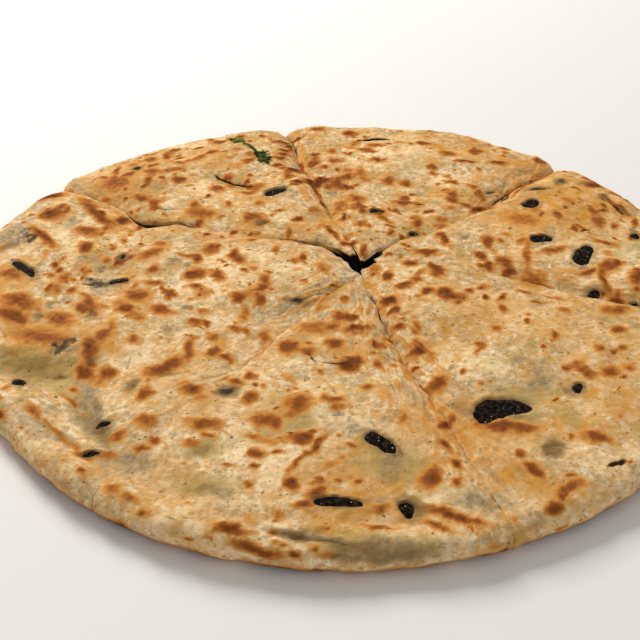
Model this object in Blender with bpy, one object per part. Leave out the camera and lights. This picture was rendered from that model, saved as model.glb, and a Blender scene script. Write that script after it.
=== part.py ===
"""A round stuffed flatbread, pan-fried and cut into six wedges that still lie together.

Two skins of dough close over a thin layer of filling and meet in a rounded rim. Each wedge is one
piece of dough, open along its cut sides, with its own slab of filling between the skins. Pieces
of dark mushroom break through the upper skin and sit in sockets, and a herb sprig lies on it.

Metres, +Z up. The origin is under the middle of the bread, on the face it rests on. -Y is the
front of the bread, +X its right.
"""
import math
from collections import namedtuple

import bmesh
import bpy
from mathutils import Vector
from mathutils.bvhtree import BVHTree

MM = 0.001

# Driving dimensions, in metres.
RADIUS = 126.9 * MM
CENTRE_X = 1.4 * MM
CENTRE_Y = 0.9 * MM
THICKNESS = 9.0 * MM
BOTTOM_SKIN = 2.2 * MM
TOP_SKIN = 2.2 * MM
RIM_DOUGH = 10.0 * MM
HUB_X = 9.2 * MM
HUB_Y = 10.2 * MM
CLEARANCE = 0.3 * MM
KERF = 0.6 * MM

# A wedge's tip: how far it keeps back from the hub at the resting face, and how far out from the
# hub the wedge is drawn back for it.
TIP_AT_BASE = 1.8 * MM
TIP_ZONE = 13.0 * MM

# Where a cut meets the rim, the corner's rounding spreads this many times its own depth along the
# rim, and dies away inwards by this power of the distance.
CORNER_SPREAD = 2.5
CORNER_POWER = 10

# Gaps between the filling and the dough: beside the skins, and back from the cut sides.
FILLING_SKIN_GAP = 1.2 * CLEARANCE
FILLING_SIDE_GAP = 1.5 * CLEARANCE
FILLING_RIM_GAP = 2.0 * CLEARANCE

# How finely a wedge is divided: columns across it, how far they crowd to its cut sides, and the
# most of a column's width that the filling's side may give up.
COLUMNS = 10
CROWDING = 0.68
ROWS = 12
MOST_INSET = 0.8

# Edges sharper than this are not smoothed over.
SHARP_ANGLE = math.radians(40)

# The tables from here on are in millimetres and degrees.

# The rim's section, from the resting face up to the crust: (in from the edge, part of the height).
RIM_PROFILE = ((4.5, 0.0), (1.8, 0.11), (0.3, 0.33), (0.1, 0.56), (1.2, 0.80), (3.6, 0.95), (7.0, 1.0))

# The outline departs from a circle by a few slow waves: (waves round the rim, height, peak bearing).
OUTLINE_WAVES = ((2, 2.2, 0), (3, 1.4, 46), (4, 0.9, -20), (5, 0.4, -33))

# The crust's own slow waves: (wavelength, bearing, height, phase).
CRUST_WAVES = ((74, 20, 0.35, 40), (52, 75, 0.30, 200), (41, 130, 0.25, 310), (33, 165, 0.20, 95))

# Swells and hollows of the crust: (x, y, half length, half width, bearing of the length, height).
SWELLS = (
    (-110, 36, 22, 10, 65, 1.3),
    (-91, -51, 22, 10, -30, -2.0),
    (-74, -72, 20, 10, -52, -1.4),
    (-90, -74, 20, 9, -45, 1.2),
    (-82, -26, 24, 10, -20, 0.8),
    (-68, 76, 26, 12, 35, 1.0),
    (-44, 68, 14, 4, -30, -1.0),
    (-20, 70, 16, 7, -60, 0.8),
    (34, 84, 26, 14, 10, 1.0),
    (88, 52, 26, 12, 60, 1.1),
    (54, -56, 26, 16, 15, 0.9),
    (98, -50, 24, 9, 60, 0.8),
    (-4, -68, 28, 16, 80, 0.9),
    (10, -113, 34, 3.5, 0, -0.9),
)

# Each wedge is named for where it lies. How far its tip keeps back from the hub, at the crust.
TIPS = {"right": 5.6, "back": 4.2, "back_left": 9.0, "left": 5.2, "front": 9.5, "front_right": 6.0}

# Wedge names in the order of the cuts below: each lies anticlockwise of its own cut.
WEDGES = ("right", "back", "back_left", "left", "front", "front_right")

# A side of a cut: how far the crust sinks along it, over what width, and how much of the wedge's
# corner is rounded off at the rim.
Side = namedtuple("Side", "fall width corner")

# The six cuts, anticlockwise. Pairs are (distance from the hub, value): `bend` is how far the cut
# strays anticlockwise from its bearing, and `gap` how far it stands open at the crust. `before` is
# its side towards the wedge before it, `after` its side towards the wedge it gives its place to.
Cut = namedtuple("Cut", "bearing bend gap before after")
CUTS = (
    Cut(-16,
        bend=((2, 0), (14, 4.0), (34, 7.5), (54, 5.0), (76, 1.2), (130, 0)),
        gap=((0, 0.6), (60, 0.8), (110, 0.8), (130, 1.6)),
        before=Side(((0, 0.6), (60, 0.2), (95, 0.4), (130, 1.0)), 4, 1.5),
        after=Side(((0, 0.6), (40, 1.0), (62, 3.4), (95, 3.0), (130, 1.4)), 13, 2.5)),
    Cut(43,
        bend=((0, 0), (20, 1.9), (36, -2.4), (66, -2.2), (90, 0), (130, 0)),
        gap=((0, 1.4), (14, 0.9), (50, 0.6), (72, 1.9), (84, 1.0), (130, 2.6)),
        before=Side(((0, 1.2), (40, 0.8), (75, 2.2), (130, 2.4)), 8, 4.0),
        after=Side(((0, 1.2), (40, 1.0), (78, 3.4), (130, 3.6)), 15, 4.5)),
    Cut(108,
        bend=((0, 0), (34, 1.1), (62, 0), (80, 1.4), (98, -1.8), (130, 0)),
        gap=((0, 1.6), (14, 0.7), (48, 1.0), (80, 0.8), (104, 1.4), (130, 3.0)),
        before=Side(((0, 1.2), (40, 2.6), (130, 3.2)), 13, 4.5),
        after=Side(((0, 1.0), (40, 1.8), (130, 3.0)), 9, 4.5)),
    Cut(158,
        bend=((2, 0), (20, -5.4), (28, -4.6), (46, 0.6), (68, 2.6), (86, 7.0), (104, 1.4),
              (130, -2.0)),
        gap=((0, 2.4), (24, 2.2), (42, 0.6), (58, 0.7), (84, 2.8), (98, 0.9), (130, 1.6)),
        before=Side(((0, 0.4), (46, 0.9), (84, 0.2), (130, 1.8)), 7, 3.5),
        after=Side(((0, 2.6), (24, 2.8), (46, 1.0), (84, 2.6), (130, 1.4)), 11, 2.5)),
    Cut(239,
        bend=((2, 0), (12, 2.8), (26, 0.9), (38, 1.4), (52, -0.5), (64, 0.9), (98, -3.0),
              (130, -1.5)),
        gap=((0, 1.4), (24, 2.4), (44, 0.9), (70, 0.6), (130, 0.9)),
        before=Side(((0, 2.4), (28, 3.6), (56, 1.6), (130, 0.8)), 13, 1.5),
        after=Side(((0, 1.0), (28, 0.2), (56, 0.6), (130, 0.8)), 5, 1.5)),
    Cut(286,
        bend=((2, 0), (14, -2.3), (50, -3.2), (72, -1.1), (98, 0), (130, 2.0)),
        gap=((0, 0.8), (60, 0.8), (130, 1.0)),
        before=Side(((0, 2.4), (60, 3.0), (130, 1.2)), 13, 1.5),
        after=Side(((0, 2.0), (60, 2.8), (130, 1.2)), 8, 1.5)),
)

# Mushroom pieces: the wedge each is set in, its place, half length, half width, bearing, and how
# far its ends curl towards its right-hand side.
Mushroom = namedtuple("Mushroom", "wedge x y half_length half_width bearing curl")
MUSHROOMS = (
    Mushroom("front_right", 48.5, -68.5, 9.5, 3.9, 20, 3.2),
    Mushroom("front", 14, -84.5, 5.4, 2.2, -38, 0.4),
    Mushroom("front", 2.5, -106.5, 6.6, 2.0, -3, 0.8),
    Mushroom("front", 20, -108, 3.0, 2.2, -70, 0.3),
    Mushroom("right", 88, 15.5, 7.4, 3.0, 62, 0.6),
    Mushroom("right", 74.5, 25, 4.2, 3.1, 8, 0.5),
    Mushroom("right", 75, 52.5, 3.6, 2.8, 55, 0),
    Mushroom("back_left", -24.5, 58.5, 4.8, 2.6, 25, 0.9),
    Mushroom("left", -108.5, 1, 7.6, 2.2, -46, 0.5),
    Mushroom("left", -74, -6.5, 3.5, 2.0, 5, 0.3),
)
MUSHROOM_PROUD = 0.45
MUSHROOM_DEPTH = 1.25
MUSHROOM_TAPER = 0.25
MUSHROOM_SEGMENTS = 10
MUSHROOM_RINGS = 6

# The herb sprig: where its stem starts, the bearing it runs on, and its sizes. Its leaf is centred
# at a part of its length and has lobes; the whole of it sways sideways and ripples up and down.
SPRIG_X = -44.5
SPRIG_Y = 102.5
SPRIG_BEARING = -50
SPRIG_LENGTH = 24
SPRIG_STEM_WIDTH = 1.2
SPRIG_LEAF_WIDTH = 4.6
SPRIG_THICKNESS = 0.7
SPRIG_LEAF_AT = 0.78
SPRIG_LEAF_SPREAD = 0.13
SPRIG_LOBES = 9.5
SPRIG_LOBE_DEPTH = 0.35
SPRIG_SWAY = 1.2
SPRIG_SWAYS = 0.7
SPRIG_RIPPLE = 0.12
SPRIG_RIPPLES = 3.3
SPRIG_SEGMENTS = 14
SPRIG_ABOVE = 1.5 * CLEARANCE

DOUGH_COLOUR = (0.70, 0.46, 0.23, 1.0)
FILLING_COLOUR = (0.17, 0.15, 0.07, 1.0)
MUSHROOM_COLOUR = (0.018, 0.014, 0.012, 1.0)
HERB_COLOUR = (0.03, 0.06, 0.02, 1.0)


def read_pairs(pairs, distance):
    """The value, in metres, at a distance: it eases smoothly from one of a table's pairs to the next."""
    if distance <= pairs[0][0] * MM:
        return pairs[0][1] * MM
    for (near, value), (far, next_value) in zip(pairs, pairs[1:]):
        if distance < far * MM:
            part = (distance / MM - near) / (far - near)
            return MM * (value + (next_value - value) * part * part * (3 - 2 * part))
    return pairs[-1][1] * MM


def outline_radius(bearing):
    """Radius of the bread's outline about its centre, at a bearing in radians."""
    waves = sum(height * math.cos(count * (bearing - math.radians(peak)))
                for count, height, peak in OUTLINE_WAVES)
    return RADIUS + waves * MM


def reach(bearing):
    """Distance from the hub to the outline along a bearing in radians."""
    dx, dy = math.cos(bearing), math.sin(bearing)
    from_x, from_y = HUB_X - CENTRE_X, HUB_Y - CENTRE_Y
    along = from_x * dx + from_y * dy
    radius = RADIUS
    for _ in range(3):
        distance = -along + math.sqrt(along ** 2 + radius ** 2 - from_x ** 2 - from_y ** 2)
        radius = outline_radius(math.atan2(from_y + distance * dy, from_x + distance * dx))
    return distance


def swell(x, y, centre_x, centre_y, half_length, half_width, bearing, height):
    """Height that one long soft mound, or hollow, adds at a point."""
    turn = math.radians(bearing)
    dx, dy = x / MM - centre_x, y / MM - centre_y
    lengthwise = (dx * math.cos(turn) + dy * math.sin(turn)) / half_length
    sideways = (dy * math.cos(turn) - dx * math.sin(turn)) / half_width
    return height * MM * math.exp(-lengthwise ** 2 - sideways ** 2)


def crust_height(x, y):
    """Height of the uncut crust over the resting face."""
    height = THICKNESS
    for length, bearing, size, phase in CRUST_WAVES:
        turn = math.radians(bearing)
        run = x * math.cos(turn) + y * math.sin(turn)
        height += size * MM * math.sin(2 * math.pi * run / (length * MM) + math.radians(phase))
    return height + sum(swell(x, y, *one) for one in SWELLS)


def sunk(side, distance, from_cut):
    """How far the crust lies below its own height, beside a cut."""
    nearness = max(0.0, 1.0 - from_cut / (side.width * MM))
    return read_pairs(side.fall, distance) * nearness ** 2


def corner_cut(side, from_cut):
    """How far the rim is drawn in beside a cut."""
    corner = side.corner * MM
    nearness = max(0.0, 1.0 - from_cut / (CORNER_SPREAD * corner))
    return corner * nearness ** 2


def crowd(part):
    """Even steps across a wedge, crowded towards its two cut sides."""
    return part - CROWDING * math.sin(2 * math.pi * part) / (2 * math.pi)


def place(name, across, out, up):
    """A point of a wedge.

    across runs 0 to 1 between the cut sides, out 0 to 1 from tip to rim, up 0 to 1 from the
    resting face to the crust.
    """
    index = WEDGES.index(name)
    first = CUTS[index]
    second = CUTS[(index + 1) % len(CUTS)]
    start = math.radians(first.bearing)
    end = math.radians(second.bearing)
    if end < start:
        end += 2 * math.pi
    crowded = crowd(across)

    edge = reach(start + crowded * (end - start))
    distance = out * edge
    rounding = corner_cut(first.after, edge * crowded * (end - start))
    rounding += corner_cut(second.before, edge * (1 - crowded) * (end - start))
    distance -= rounding * out ** CORNER_POWER
    if distance < TIP_ZONE:
        tip = TIP_AT_BASE + (TIPS[name] * MM - TIP_AT_BASE) * up
        distance = tip + (TIP_ZONE - tip) * distance / TIP_ZONE

    open_first = KERF + (read_pairs(first.gap, distance) - KERF) * up
    open_second = KERF + (read_pairs(second.gap, distance) - KERF) * up
    start += (read_pairs(first.bend, distance) + open_first / 2) / distance
    end += (read_pairs(second.bend, distance) - open_second / 2) / distance
    bearing = start + crowded * (end - start)
    x = HUB_X + distance * math.cos(bearing)
    y = HUB_Y + distance * math.sin(bearing)

    top = crust_height(x, y)
    top -= sunk(first.after, distance, distance * (bearing - start))
    top -= sunk(second.before, distance, distance * (end - bearing))
    return Vector((x, y, up * top))


def stations():
    """Distances outward, as parts of the way to the rim, that every layer of a wedge shares."""
    cavity_end = 1 - RIM_DOUGH / RADIUS
    return [cavity_end * row / ROWS for row in range(ROWS + 1)]


def add_strip(mesh, lower, upper):
    """A strip of quads between two rows of corners."""
    for index in range(len(lower) - 1):
        mesh.faces.new((lower[index], lower[index + 1], upper[index + 1], upper[index]))


def add_row(mesh, outs, up):
    """A row of section corners at one height: x holds 1 + out, z holds up."""
    return [mesh.verts.new((1 + out, 0, up)) for out in outs]


def dough_section():
    """The section of a wedge's dough from tip to rim: two skins that meet in a rounded rim."""
    mesh = bmesh.new()
    outs = stations()
    bottom = add_row(mesh, outs, 0.0)
    floor = add_row(mesh, outs, BOTTOM_SKIN / THICKNESS)
    ceiling = add_row(mesh, outs, 1 - TOP_SKIN / THICKNESS)
    top = add_row(mesh, outs, 1.0)
    add_strip(mesh, bottom, floor)
    add_strip(mesh, ceiling, top)
    rim = [mesh.verts.new((2 - inward * MM / RADIUS, 0, up)) for inward, up in RIM_PROFILE]
    mesh.faces.new([bottom[-1]] + rim + [top[-1], ceiling[-1], floor[-1]])
    return mesh


def filling_section():
    """The section of a slab of filling: the cavity's own, ending short of the rim's dough."""
    mesh = bmesh.new()
    outs = stations()
    outs[-1] -= FILLING_RIM_GAP / RADIUS
    floor = add_row(mesh, outs, BOTTOM_SKIN / THICKNESS)
    ceiling = add_row(mesh, outs, 1 - TOP_SKIN / THICKNESS)
    add_strip(mesh, floor, ceiling)
    return mesh


def spin(mesh):
    """Spin a section through one radian, so that each point's bearing is its part of the way across."""
    geometry = list(mesh.verts) + list(mesh.edges) + list(mesh.faces)
    bmesh.ops.spin(mesh, geom=geometry, angle=1.0, steps=COLUMNS, axis=(0, 0, 1), cent=(0, 0, 0),
                   use_duplicate=False)


def lay_out(mesh, name, inset=0.0):
    """Move a spun section's points to where they belong in a wedge.

    The two cut sides are drawn in by the inset, towards the next column of points. Each quad is
    halved across its shorter diagonal, so that a slab of filling and the skins round it fold alike.
    """
    step = 1 / COLUMNS
    for corner in mesh.verts:
        across = math.atan2(corner.co.y, corner.co.x)
        out = math.hypot(corner.co.x, corner.co.y) - 1
        up = corner.co.z
        corner.co = place(name, across, out, up)
        if inset and abs(across - 0.5) > 0.5 - step / 2:
            inner = place(name, step if across < 0.5 else 1 - step, out, up)
            spacing = (inner - corner.co).length
            corner.co = corner.co.lerp(inner, min(MOST_INSET, inset / spacing))
    bmesh.ops.triangulate(mesh, faces=mesh.faces, quad_method="SHORT_EDGE")


def add_object(name, mesh, collection, material):
    """Turn a bmesh into an object with outward faces."""
    bmesh.ops.recalc_face_normals(mesh, faces=mesh.faces)
    if mesh.calc_volume(signed=True) < 0:
        bmesh.ops.reverse_faces(mesh, faces=mesh.faces)
    data = bpy.data.meshes.new(name)
    mesh.to_mesh(data)
    mesh.free()
    data.shade_smooth()
    data.set_sharp_from_angle(angle=SHARP_ANGLE)
    if material:
        data.materials.append(material)
    made = bpy.data.objects.new(name, data)
    collection.objects.link(made)
    return made


def make_material(name, colour, roughness):
    made = bpy.data.materials.new(name)
    made.use_nodes = True
    shader = made.node_tree.nodes["Principled BSDF"]
    shader.inputs["Base Color"].default_value = colour
    shader.inputs["Roughness"].default_value = roughness
    shader.inputs["Metallic"].default_value = 0.0
    made.diffuse_color = colour
    return made


def make_dough(name, collection):
    mesh = dough_section()
    spin(mesh)
    lay_out(mesh, name)
    return add_object("dough_" + name, mesh, collection, make_material("dough_" + name, DOUGH_COLOUR, 0.6))


def make_filling(name, collection):
    """The slab of filling, drawn in from the dough on every side."""
    mesh = filling_section()
    spin(mesh)
    upper = [corner for corner in mesh.verts if corner.co.z > 0.5]
    lower = [corner for corner in mesh.verts if corner.co.z <= 0.5]
    lay_out(mesh, name, inset=FILLING_SIDE_GAP)
    for corner in upper:
        corner.co.z -= FILLING_SKIN_GAP
    for corner in lower:
        corner.co.z += FILLING_SKIN_GAP
    return add_object("filling_" + name, mesh, collection,
                      make_material("filling_" + name, FILLING_COLOUR, 0.5))


def surface_reader(made):
    """A function that gives the height of an object's upper surface at a point."""
    tree = BVHTree.FromPolygons([corner.co.copy() for corner in made.data.vertices],
                                [tuple(face.vertices) for face in made.data.polygons])

    def height(x, y):
        above_all = 2 * THICKNESS
        hit = tree.ray_cast(Vector((x, y, above_all)), Vector((0, 0, -1)))
        return hit[0].z
    return height


def put(place_x, place_y, bearing, lengthwise, sideways):
    """Where a point of a long piece lies: (x, y) in metres, from measures in millimetres."""
    turn = math.radians(bearing)
    x = place_x + lengthwise * math.cos(turn) - sideways * math.sin(turn)
    y = place_y + lengthwise * math.sin(turn) + sideways * math.cos(turn)
    return x * MM, y * MM


def mushroom_mesh(piece, height_at, grow):
    """A flattened, curled bean, let into the crust by its depth and grown on every side."""
    mesh = bmesh.new()
    bmesh.ops.create_uvsphere(mesh, u_segments=MUSHROOM_SEGMENTS, v_segments=MUSHROOM_RINGS, radius=1.0)
    middle = (MUSHROOM_PROUD - MUSHROOM_DEPTH) / 2
    half_depth = (MUSHROOM_PROUD + MUSHROOM_DEPTH) / 2 + grow
    for corner in mesh.verts:
        lengthwise = corner.co.x * (piece.half_length + grow)
        taper = 1 - MUSHROOM_TAPER * corner.co.x
        sideways = corner.co.y * (piece.half_width * taper + grow) - piece.curl * corner.co.x ** 2
        x, y = put(piece.x, piece.y, piece.bearing, lengthwise, sideways)
        corner.co = (x, y, height_at(x, y) + MM * (middle + half_depth * corner.co.z))
    return mesh


def set_in(dough, cutter):
    """Cut the cutter's shape out of a dough object."""
    modifier = dough.modifiers.new("socket", "BOOLEAN")
    modifier.operation = "DIFFERENCE"
    modifier.solver = "EXACT"
    modifier.object = cutter


def make_mushrooms(dough, heights, collection, cutters):
    material = make_material("mushroom", MUSHROOM_COLOUR, 0.35)
    for number, piece in enumerate(MUSHROOMS, start=1):
        height_at = heights[piece.wedge]
        add_object(f"mushroom_{number:02d}", mushroom_mesh(piece, height_at, 0.0), collection, material)
        cutter = add_object(f"socket_{number:02d}", mushroom_mesh(piece, height_at, CLEARANCE / MM),
                            cutters, None)
        cutter.hide_render = True
        cutter.display_type = "WIRE"
        set_in(dough[piece.wedge], cutter)


def make_sprig(height_at, collection):
    """A stem that ends in a small lobed leaf: a thin wavy strip, laid on the crust."""
    mesh = bmesh.new()
    bmesh.ops.create_grid(mesh, x_segments=SPRIG_SEGMENTS, y_segments=2, size=0.5)
    full_turn = 2 * math.pi
    for corner in mesh.verts:
        part = corner.co.x + 0.5
        leaf = math.exp(-((part - SPRIG_LEAF_AT) / SPRIG_LEAF_SPREAD) ** 2)
        leaf *= 1 - SPRIG_LOBE_DEPTH * math.cos(full_turn * SPRIG_LOBES * part)
        width = SPRIG_STEM_WIDTH + (SPRIG_LEAF_WIDTH - SPRIG_STEM_WIDTH) * min(1.0, leaf)
        sideways = corner.co.y * width + SPRIG_SWAY * math.sin(full_turn * SPRIG_SWAYS * part)
        x, y = put(SPRIG_X, SPRIG_Y, SPRIG_BEARING, part * SPRIG_LENGTH, sideways)
        ripple = SPRIG_RIPPLE * MM * (1 + math.sin(full_turn * SPRIG_RIPPLES * part))
        corner.co = (x, y, height_at(x, y) + SPRIG_ABOVE + ripple)
    bmesh.ops.triangulate(mesh, faces=mesh.faces)
    sheet = bmesh.ops.extrude_face_region(mesh, geom=mesh.faces)
    raised = [item for item in sheet["geom"] if isinstance(item, bmesh.types.BMVert)]
    bmesh.ops.translate(mesh, verts=raised, vec=(0, 0, SPRIG_THICKNESS * MM))
    return add_object("herb_sprig", mesh, collection, make_material("herb", HERB_COLOUR, 0.5))


def make_collection(name):
    made = bpy.data.collections.new(name)
    bpy.context.scene.collection.children.link(made)
    return made


def main():
    for old in list(bpy.data.objects):
        bpy.data.objects.remove(old, do_unlink=True)
    bread = make_collection("stuffed_flatbread")
    cutters = make_collection("cutters")
    dough = {name: make_dough(name, bread) for name in WEDGES}
    for name in WEDGES:
        make_filling(name, bread)
    heights = {name: surface_reader(made) for name, made in dough.items()}
    make_mushrooms(dough, heights, bread, cutters)
    make_sprig(heights["back_left"], bread)


main()
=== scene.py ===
"""The looks of a stuffed flatbread: fried dough, its filling, dark mushroom and a herb sprig."""
import math
from collections import namedtuple

import bmesh
import bpy
import numpy as np
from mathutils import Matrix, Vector


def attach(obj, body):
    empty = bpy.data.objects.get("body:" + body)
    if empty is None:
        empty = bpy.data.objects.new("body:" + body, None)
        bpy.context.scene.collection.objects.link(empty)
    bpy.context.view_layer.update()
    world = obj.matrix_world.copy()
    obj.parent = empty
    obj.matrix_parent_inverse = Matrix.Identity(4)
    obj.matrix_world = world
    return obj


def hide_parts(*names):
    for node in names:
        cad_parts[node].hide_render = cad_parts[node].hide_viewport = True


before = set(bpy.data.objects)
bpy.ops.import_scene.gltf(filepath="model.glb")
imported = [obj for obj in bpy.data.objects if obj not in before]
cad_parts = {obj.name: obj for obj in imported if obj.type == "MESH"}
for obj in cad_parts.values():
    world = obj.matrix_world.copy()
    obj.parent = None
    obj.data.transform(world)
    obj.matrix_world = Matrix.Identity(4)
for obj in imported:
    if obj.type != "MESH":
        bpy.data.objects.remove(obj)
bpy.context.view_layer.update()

MM = 0.001

# ---------------------------------------------------------------------------------------------
# The form of the bread. Wheat dough was rolled thin, filled, folded shut and rolled again, so it
# is a disc with a rounded rim and a soft, uneven crust. Six cuts from a hub a little off its
# middle part it into wedges. In millimetres and degrees. The solid model has the same outline and
# swells, with wider cuts, blunter tips and no dents.
# ---------------------------------------------------------------------------------------------
RADIUS = 126.9
CENTRE = np.array((1.4, 0.9))
HUB = np.array((9.2, 10.2))
THICKNESS = 9.0
BOTTOM_SKIN = 2.2
TOP_SKIN = 2.2
RIM_DOUGH = 10.0
KERF = 0.3
CLEARANCE = 0.3
TIP_AT_BASE = 0.6
TIP_ZONE = 13.0
CORNER_SPREAD = 2.5
CORNER_POWER = 10

# The rim's section: (how far in from the outline, part of the height).
RIM_PROFILE = ((4.5, 0.0), (1.8, 0.11), (0.3, 0.33), (0.1, 0.56), (1.2, 0.80), (3.6, 0.95), (7.0, 1.0))
# (waves round the outline, height, bearing of a crest)
OUTLINE_WAVES = ((2, 2.2, 0), (3, 1.4, 46), (4, 0.9, -20), (5, 0.4, -33))
# (wavelength, bearing, height, phase)
CRUST_WAVES = ((74, 20, 0.35, 40), (52, 75, 0.30, 200), (41, 130, 0.25, 310), (33, 165, 0.20, 95))
# Broad swells and hollows: (x, y, half length, half width, bearing, height).
SWELLS = (
    (-110, 36, 22, 10, 65, 1.3), (-91, -51, 22, 10, -30, -2.0), (-74, -72, 20, 10, -52, -1.4),
    (-90, -74, 20, 9, -45, 1.2), (-82, -26, 24, 10, -20, 0.8), (-68, 76, 26, 12, 35, 1.0),
    (-44, 68, 14, 4, -30, -1.0), (-20, 70, 16, 7, -60, 0.8), (34, 84, 26, 14, 10, 1.0),
    (88, 52, 26, 12, 60, 1.1), (54, -56, 26, 16, 15, 0.9), (98, -50, 24, 9, 60, 0.8),
    (-4, -68, 28, 16, 80, 0.9), (10, -113, 34, 3.5, 0, -0.9),
)
# Where the crust sagged or was pushed up: (x, y, half length, half width, bearing, height).
DENTS = (
    (-94, -53, 19, 5, -8, -2.8), (-92, -42, 17, 4, -8, 1.0), (-69, -76, 12, 3.4, -52, -2.2),
    (-113, 17, 12, 4.5, -65, -1.5), (-102, 7, 16, 4, -60, 1.1), (-80, -3, 9, 7, 0, -1.4),
    (-84, -42, 5, 4, 0, -0.7), (-68, 22, 14, 5, -20, -0.6), (-96, 44, 13, 4, -48, 0.7),
    (-60, -60, 12, 4, 35, 0.7), (-88, -66, 14, 3.5, -45, 0.8), (-20, -24, 7, 5, 15, -0.6),
    (-6, -118, 9, 2.0, -6, -1.5), (10, -122, 10, 4, 0, -1.2), (-75, -84, 12, 2.0, -43, -1.5),
    (-77, -66.5, 7, 1.2, -40, -0.7), (-82, -75, 9, 3, -42, 0.6), (-72, -97, 12, 4, -42, 0.6),
    (-57, -93, 9, 3.5, -15, -0.9), (62, -60, 9, 5, 20, -0.6), (40, -108, 10, 3, -20, -0.5),
    (-35, 14, 12, 4, -30, 0.6), (-50, -20, 12, 5, 30, -0.5), (84, -40, 16, 5, 35, 0.7),
    (-44, 90, 14, 4, 40, 0.6), (20, 92, 16, 5, 0, 0.6), (90, 30, 12, 5, 60, 0.6),
    (70, 66, 10, 2, 48, 0.6), (-100, -12, 9, 4, 30, 0.6),
)
# How far from the hub each wedge's tip lies at the crust.
TIPS = {"right": 5.4, "back": 3.0, "back_left": 5.8, "left": 4.7, "front": 6.2, "front_right": 4.4}
WEDGES = ("right", "back", "back_left", "left", "front", "front_right")

# A side has how far the crust falls to the cut by distance from the hub, over what width, and how
# far the rim's corner is drawn in. A cut has its bearing, and its bend and gap by that distance.
Side = namedtuple("Side", "fall width corner")
Cut = namedtuple("Cut", "bearing bend gap before after")
CUTS = (
    Cut(-16,
        bend=((2, 0), (14, 4.0), (34, 7.5), (54, 5.0), (76, 1.2), (130, 0)),
        gap=((0, 0.3), (60, 0.15), (110, 0.2), (130, 1.0)),
        before=Side(((0, 0.6), (60, 0.2), (95, 0.4), (130, 1.0)), 4, 1.5),
        after=Side(((0, 0.6), (40, 1.0), (62, 3.4), (95, 3.0), (130, 1.4)), 13, 2.5)),
    Cut(43,
        bend=((0, 0), (20, 1.9), (36, -2.4), (66, -2.2), (90, 0), (130, 0)),
        gap=((0, 3.0), (8, 2.2), (12, 0.4), (50, 0.1), (64, 0.4), (78, 0.7), (86, 0.4), (130, 2.2)),
        before=Side(((0, 1.2), (40, 0.8), (75, 2.2), (130, 2.4)), 8, 4.0),
        after=Side(((0, 1.2), (40, 0.9), (78, 2.4), (130, 3.2)), 13, 4.5)),
    Cut(108,
        bend=((0, 0), (34, 1.1), (62, 0), (80, 1.4), (98, -1.8), (130, 0)),
        gap=((0, 1.2), (14, 0.3), (30, 0.3), (43, 0.9), (56, 0.3), (66, 0.2), (80, 0.4), (104, 0.8),
             (130, 2.2)),
        before=Side(((0, 1.2), (40, 2.6), (130, 3.2)), 13, 4.5),
        after=Side(((0, 1.0), (40, 1.8), (130, 3.0)), 9, 4.5)),
    Cut(158,
        bend=((2, 0), (20, -5.4), (28, -4.6), (46, 0.6), (68, 2.6), (86, 7.0), (104, 1.4),
              (130, -2.0)),
        gap=((0, 3.0), (9, 2.4), (14, 0.5), (34, 0.1), (62, 0.1), (72, 0.8), (83, 2.0), (91, 0.4),
             (100, 0.1), (130, 0.6)),
        before=Side(((0, 0.4), (46, 0.9), (70, 0.6), (84, 0.4), (96, 1.6), (130, 1.8)), 8, 3.5),
        after=Side(((0, 2.4), (20, 2.2), (33, 1.1), (46, 0.8), (60, 0.6), (72, 1.0), (84, 2.3),
                    (96, 1.8), (130, 1.4)), 11, 2.5)),
    Cut(239,
        bend=((2, 0), (6, 2.2), (12, 2.8), (26, 0.9), (38, 1.4), (52, -0.5), (64, 0.9), (98, -3.0),
              (130, -1.5)),
        gap=((0, 0.2), (9, 0.2), (20, 0.35), (30, 0.25), (44, 0.1), (130, 0.1)),
        before=Side(((0, 2.4), (28, 3.6), (56, 1.6), (130, 0.6)), 13, 0.5),
        after=Side(((0, 1.0), (28, 0.2), (56, 0.6), (130, 0.6)), 5, 0.5)),
    Cut(286,
        bend=((2, 0), (6, -2.0), (14, -2.3), (50, -3.2), (72, -1.1), (98, 0), (130, 2.0)),
        gap=((0, 0.1), (16, 0.1), (24, 0.5), (44, 0.45), (60, 0.25), (84, 0.2), (130, 0.1)),
        before=Side(((0, 1.0), (20, 2.5), (60, 3.6), (90, 2.6), (130, 0.8)), 13, 0.4),
        after=Side(((0, 0.8), (20, 2.5), (60, 3.6), (90, 2.6), (130, 0.8)), 8, 0.4)),
)


GRADIENTS = np.random.RandomState(3).normal(size=(4096, 3))
GRADIENTS /= np.linalg.norm(GRADIENTS, axis=1)[:, None]


def lumps(points, size, octaves=2, seed=0):
    """Smooth random relief, about -1 to 1, whose largest lumps are about `size` across."""
    total = np.zeros(len(points))
    for octave in range(octaves):
        at = points * (2 ** octave / size) + 31.7 * seed + 5.3 * octave
        cell = np.floor(at).astype(np.int64)
        part = at - cell
        ease = part ** 3 * (part * (part * 6 - 15) + 10)
        for corner in np.ndindex(2, 2, 2):
            key = (cell + corner) @ (73856093, 19349663, 83492791)
            slope = GRADIENTS[(key ^ (key >> 13)) % len(GRADIENTS)]
            weight = np.prod(np.where(corner, ease, 1 - ease), axis=1)
            total += weight * np.einsum("ij,ij->i", slope, part - corner) * 1.6 / 2 ** octave
    return total


def read_pairs(pairs, distance):
    """The value at each distance, eased smoothly from one of a table's pairs to the next."""
    table = np.array(pairs, float)
    step = np.clip(np.searchsorted(table[:, 0], distance, side="right") - 1, 0, len(table) - 2)
    near, value = table[step].T
    far, next_value = table[step + 1].T
    part = np.clip((distance - near) / (far - near), 0, 1)
    return value + (next_value - value) * part * part * (3 - 2 * part)


def outline_radius(bearing):
    """Radius of the bread's outline about its centre."""
    waves = [height * np.cos(count * (bearing - math.radians(peak)))
             for count, height, peak in OUTLINE_WAVES]
    return RADIUS + sum(waves)


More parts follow.
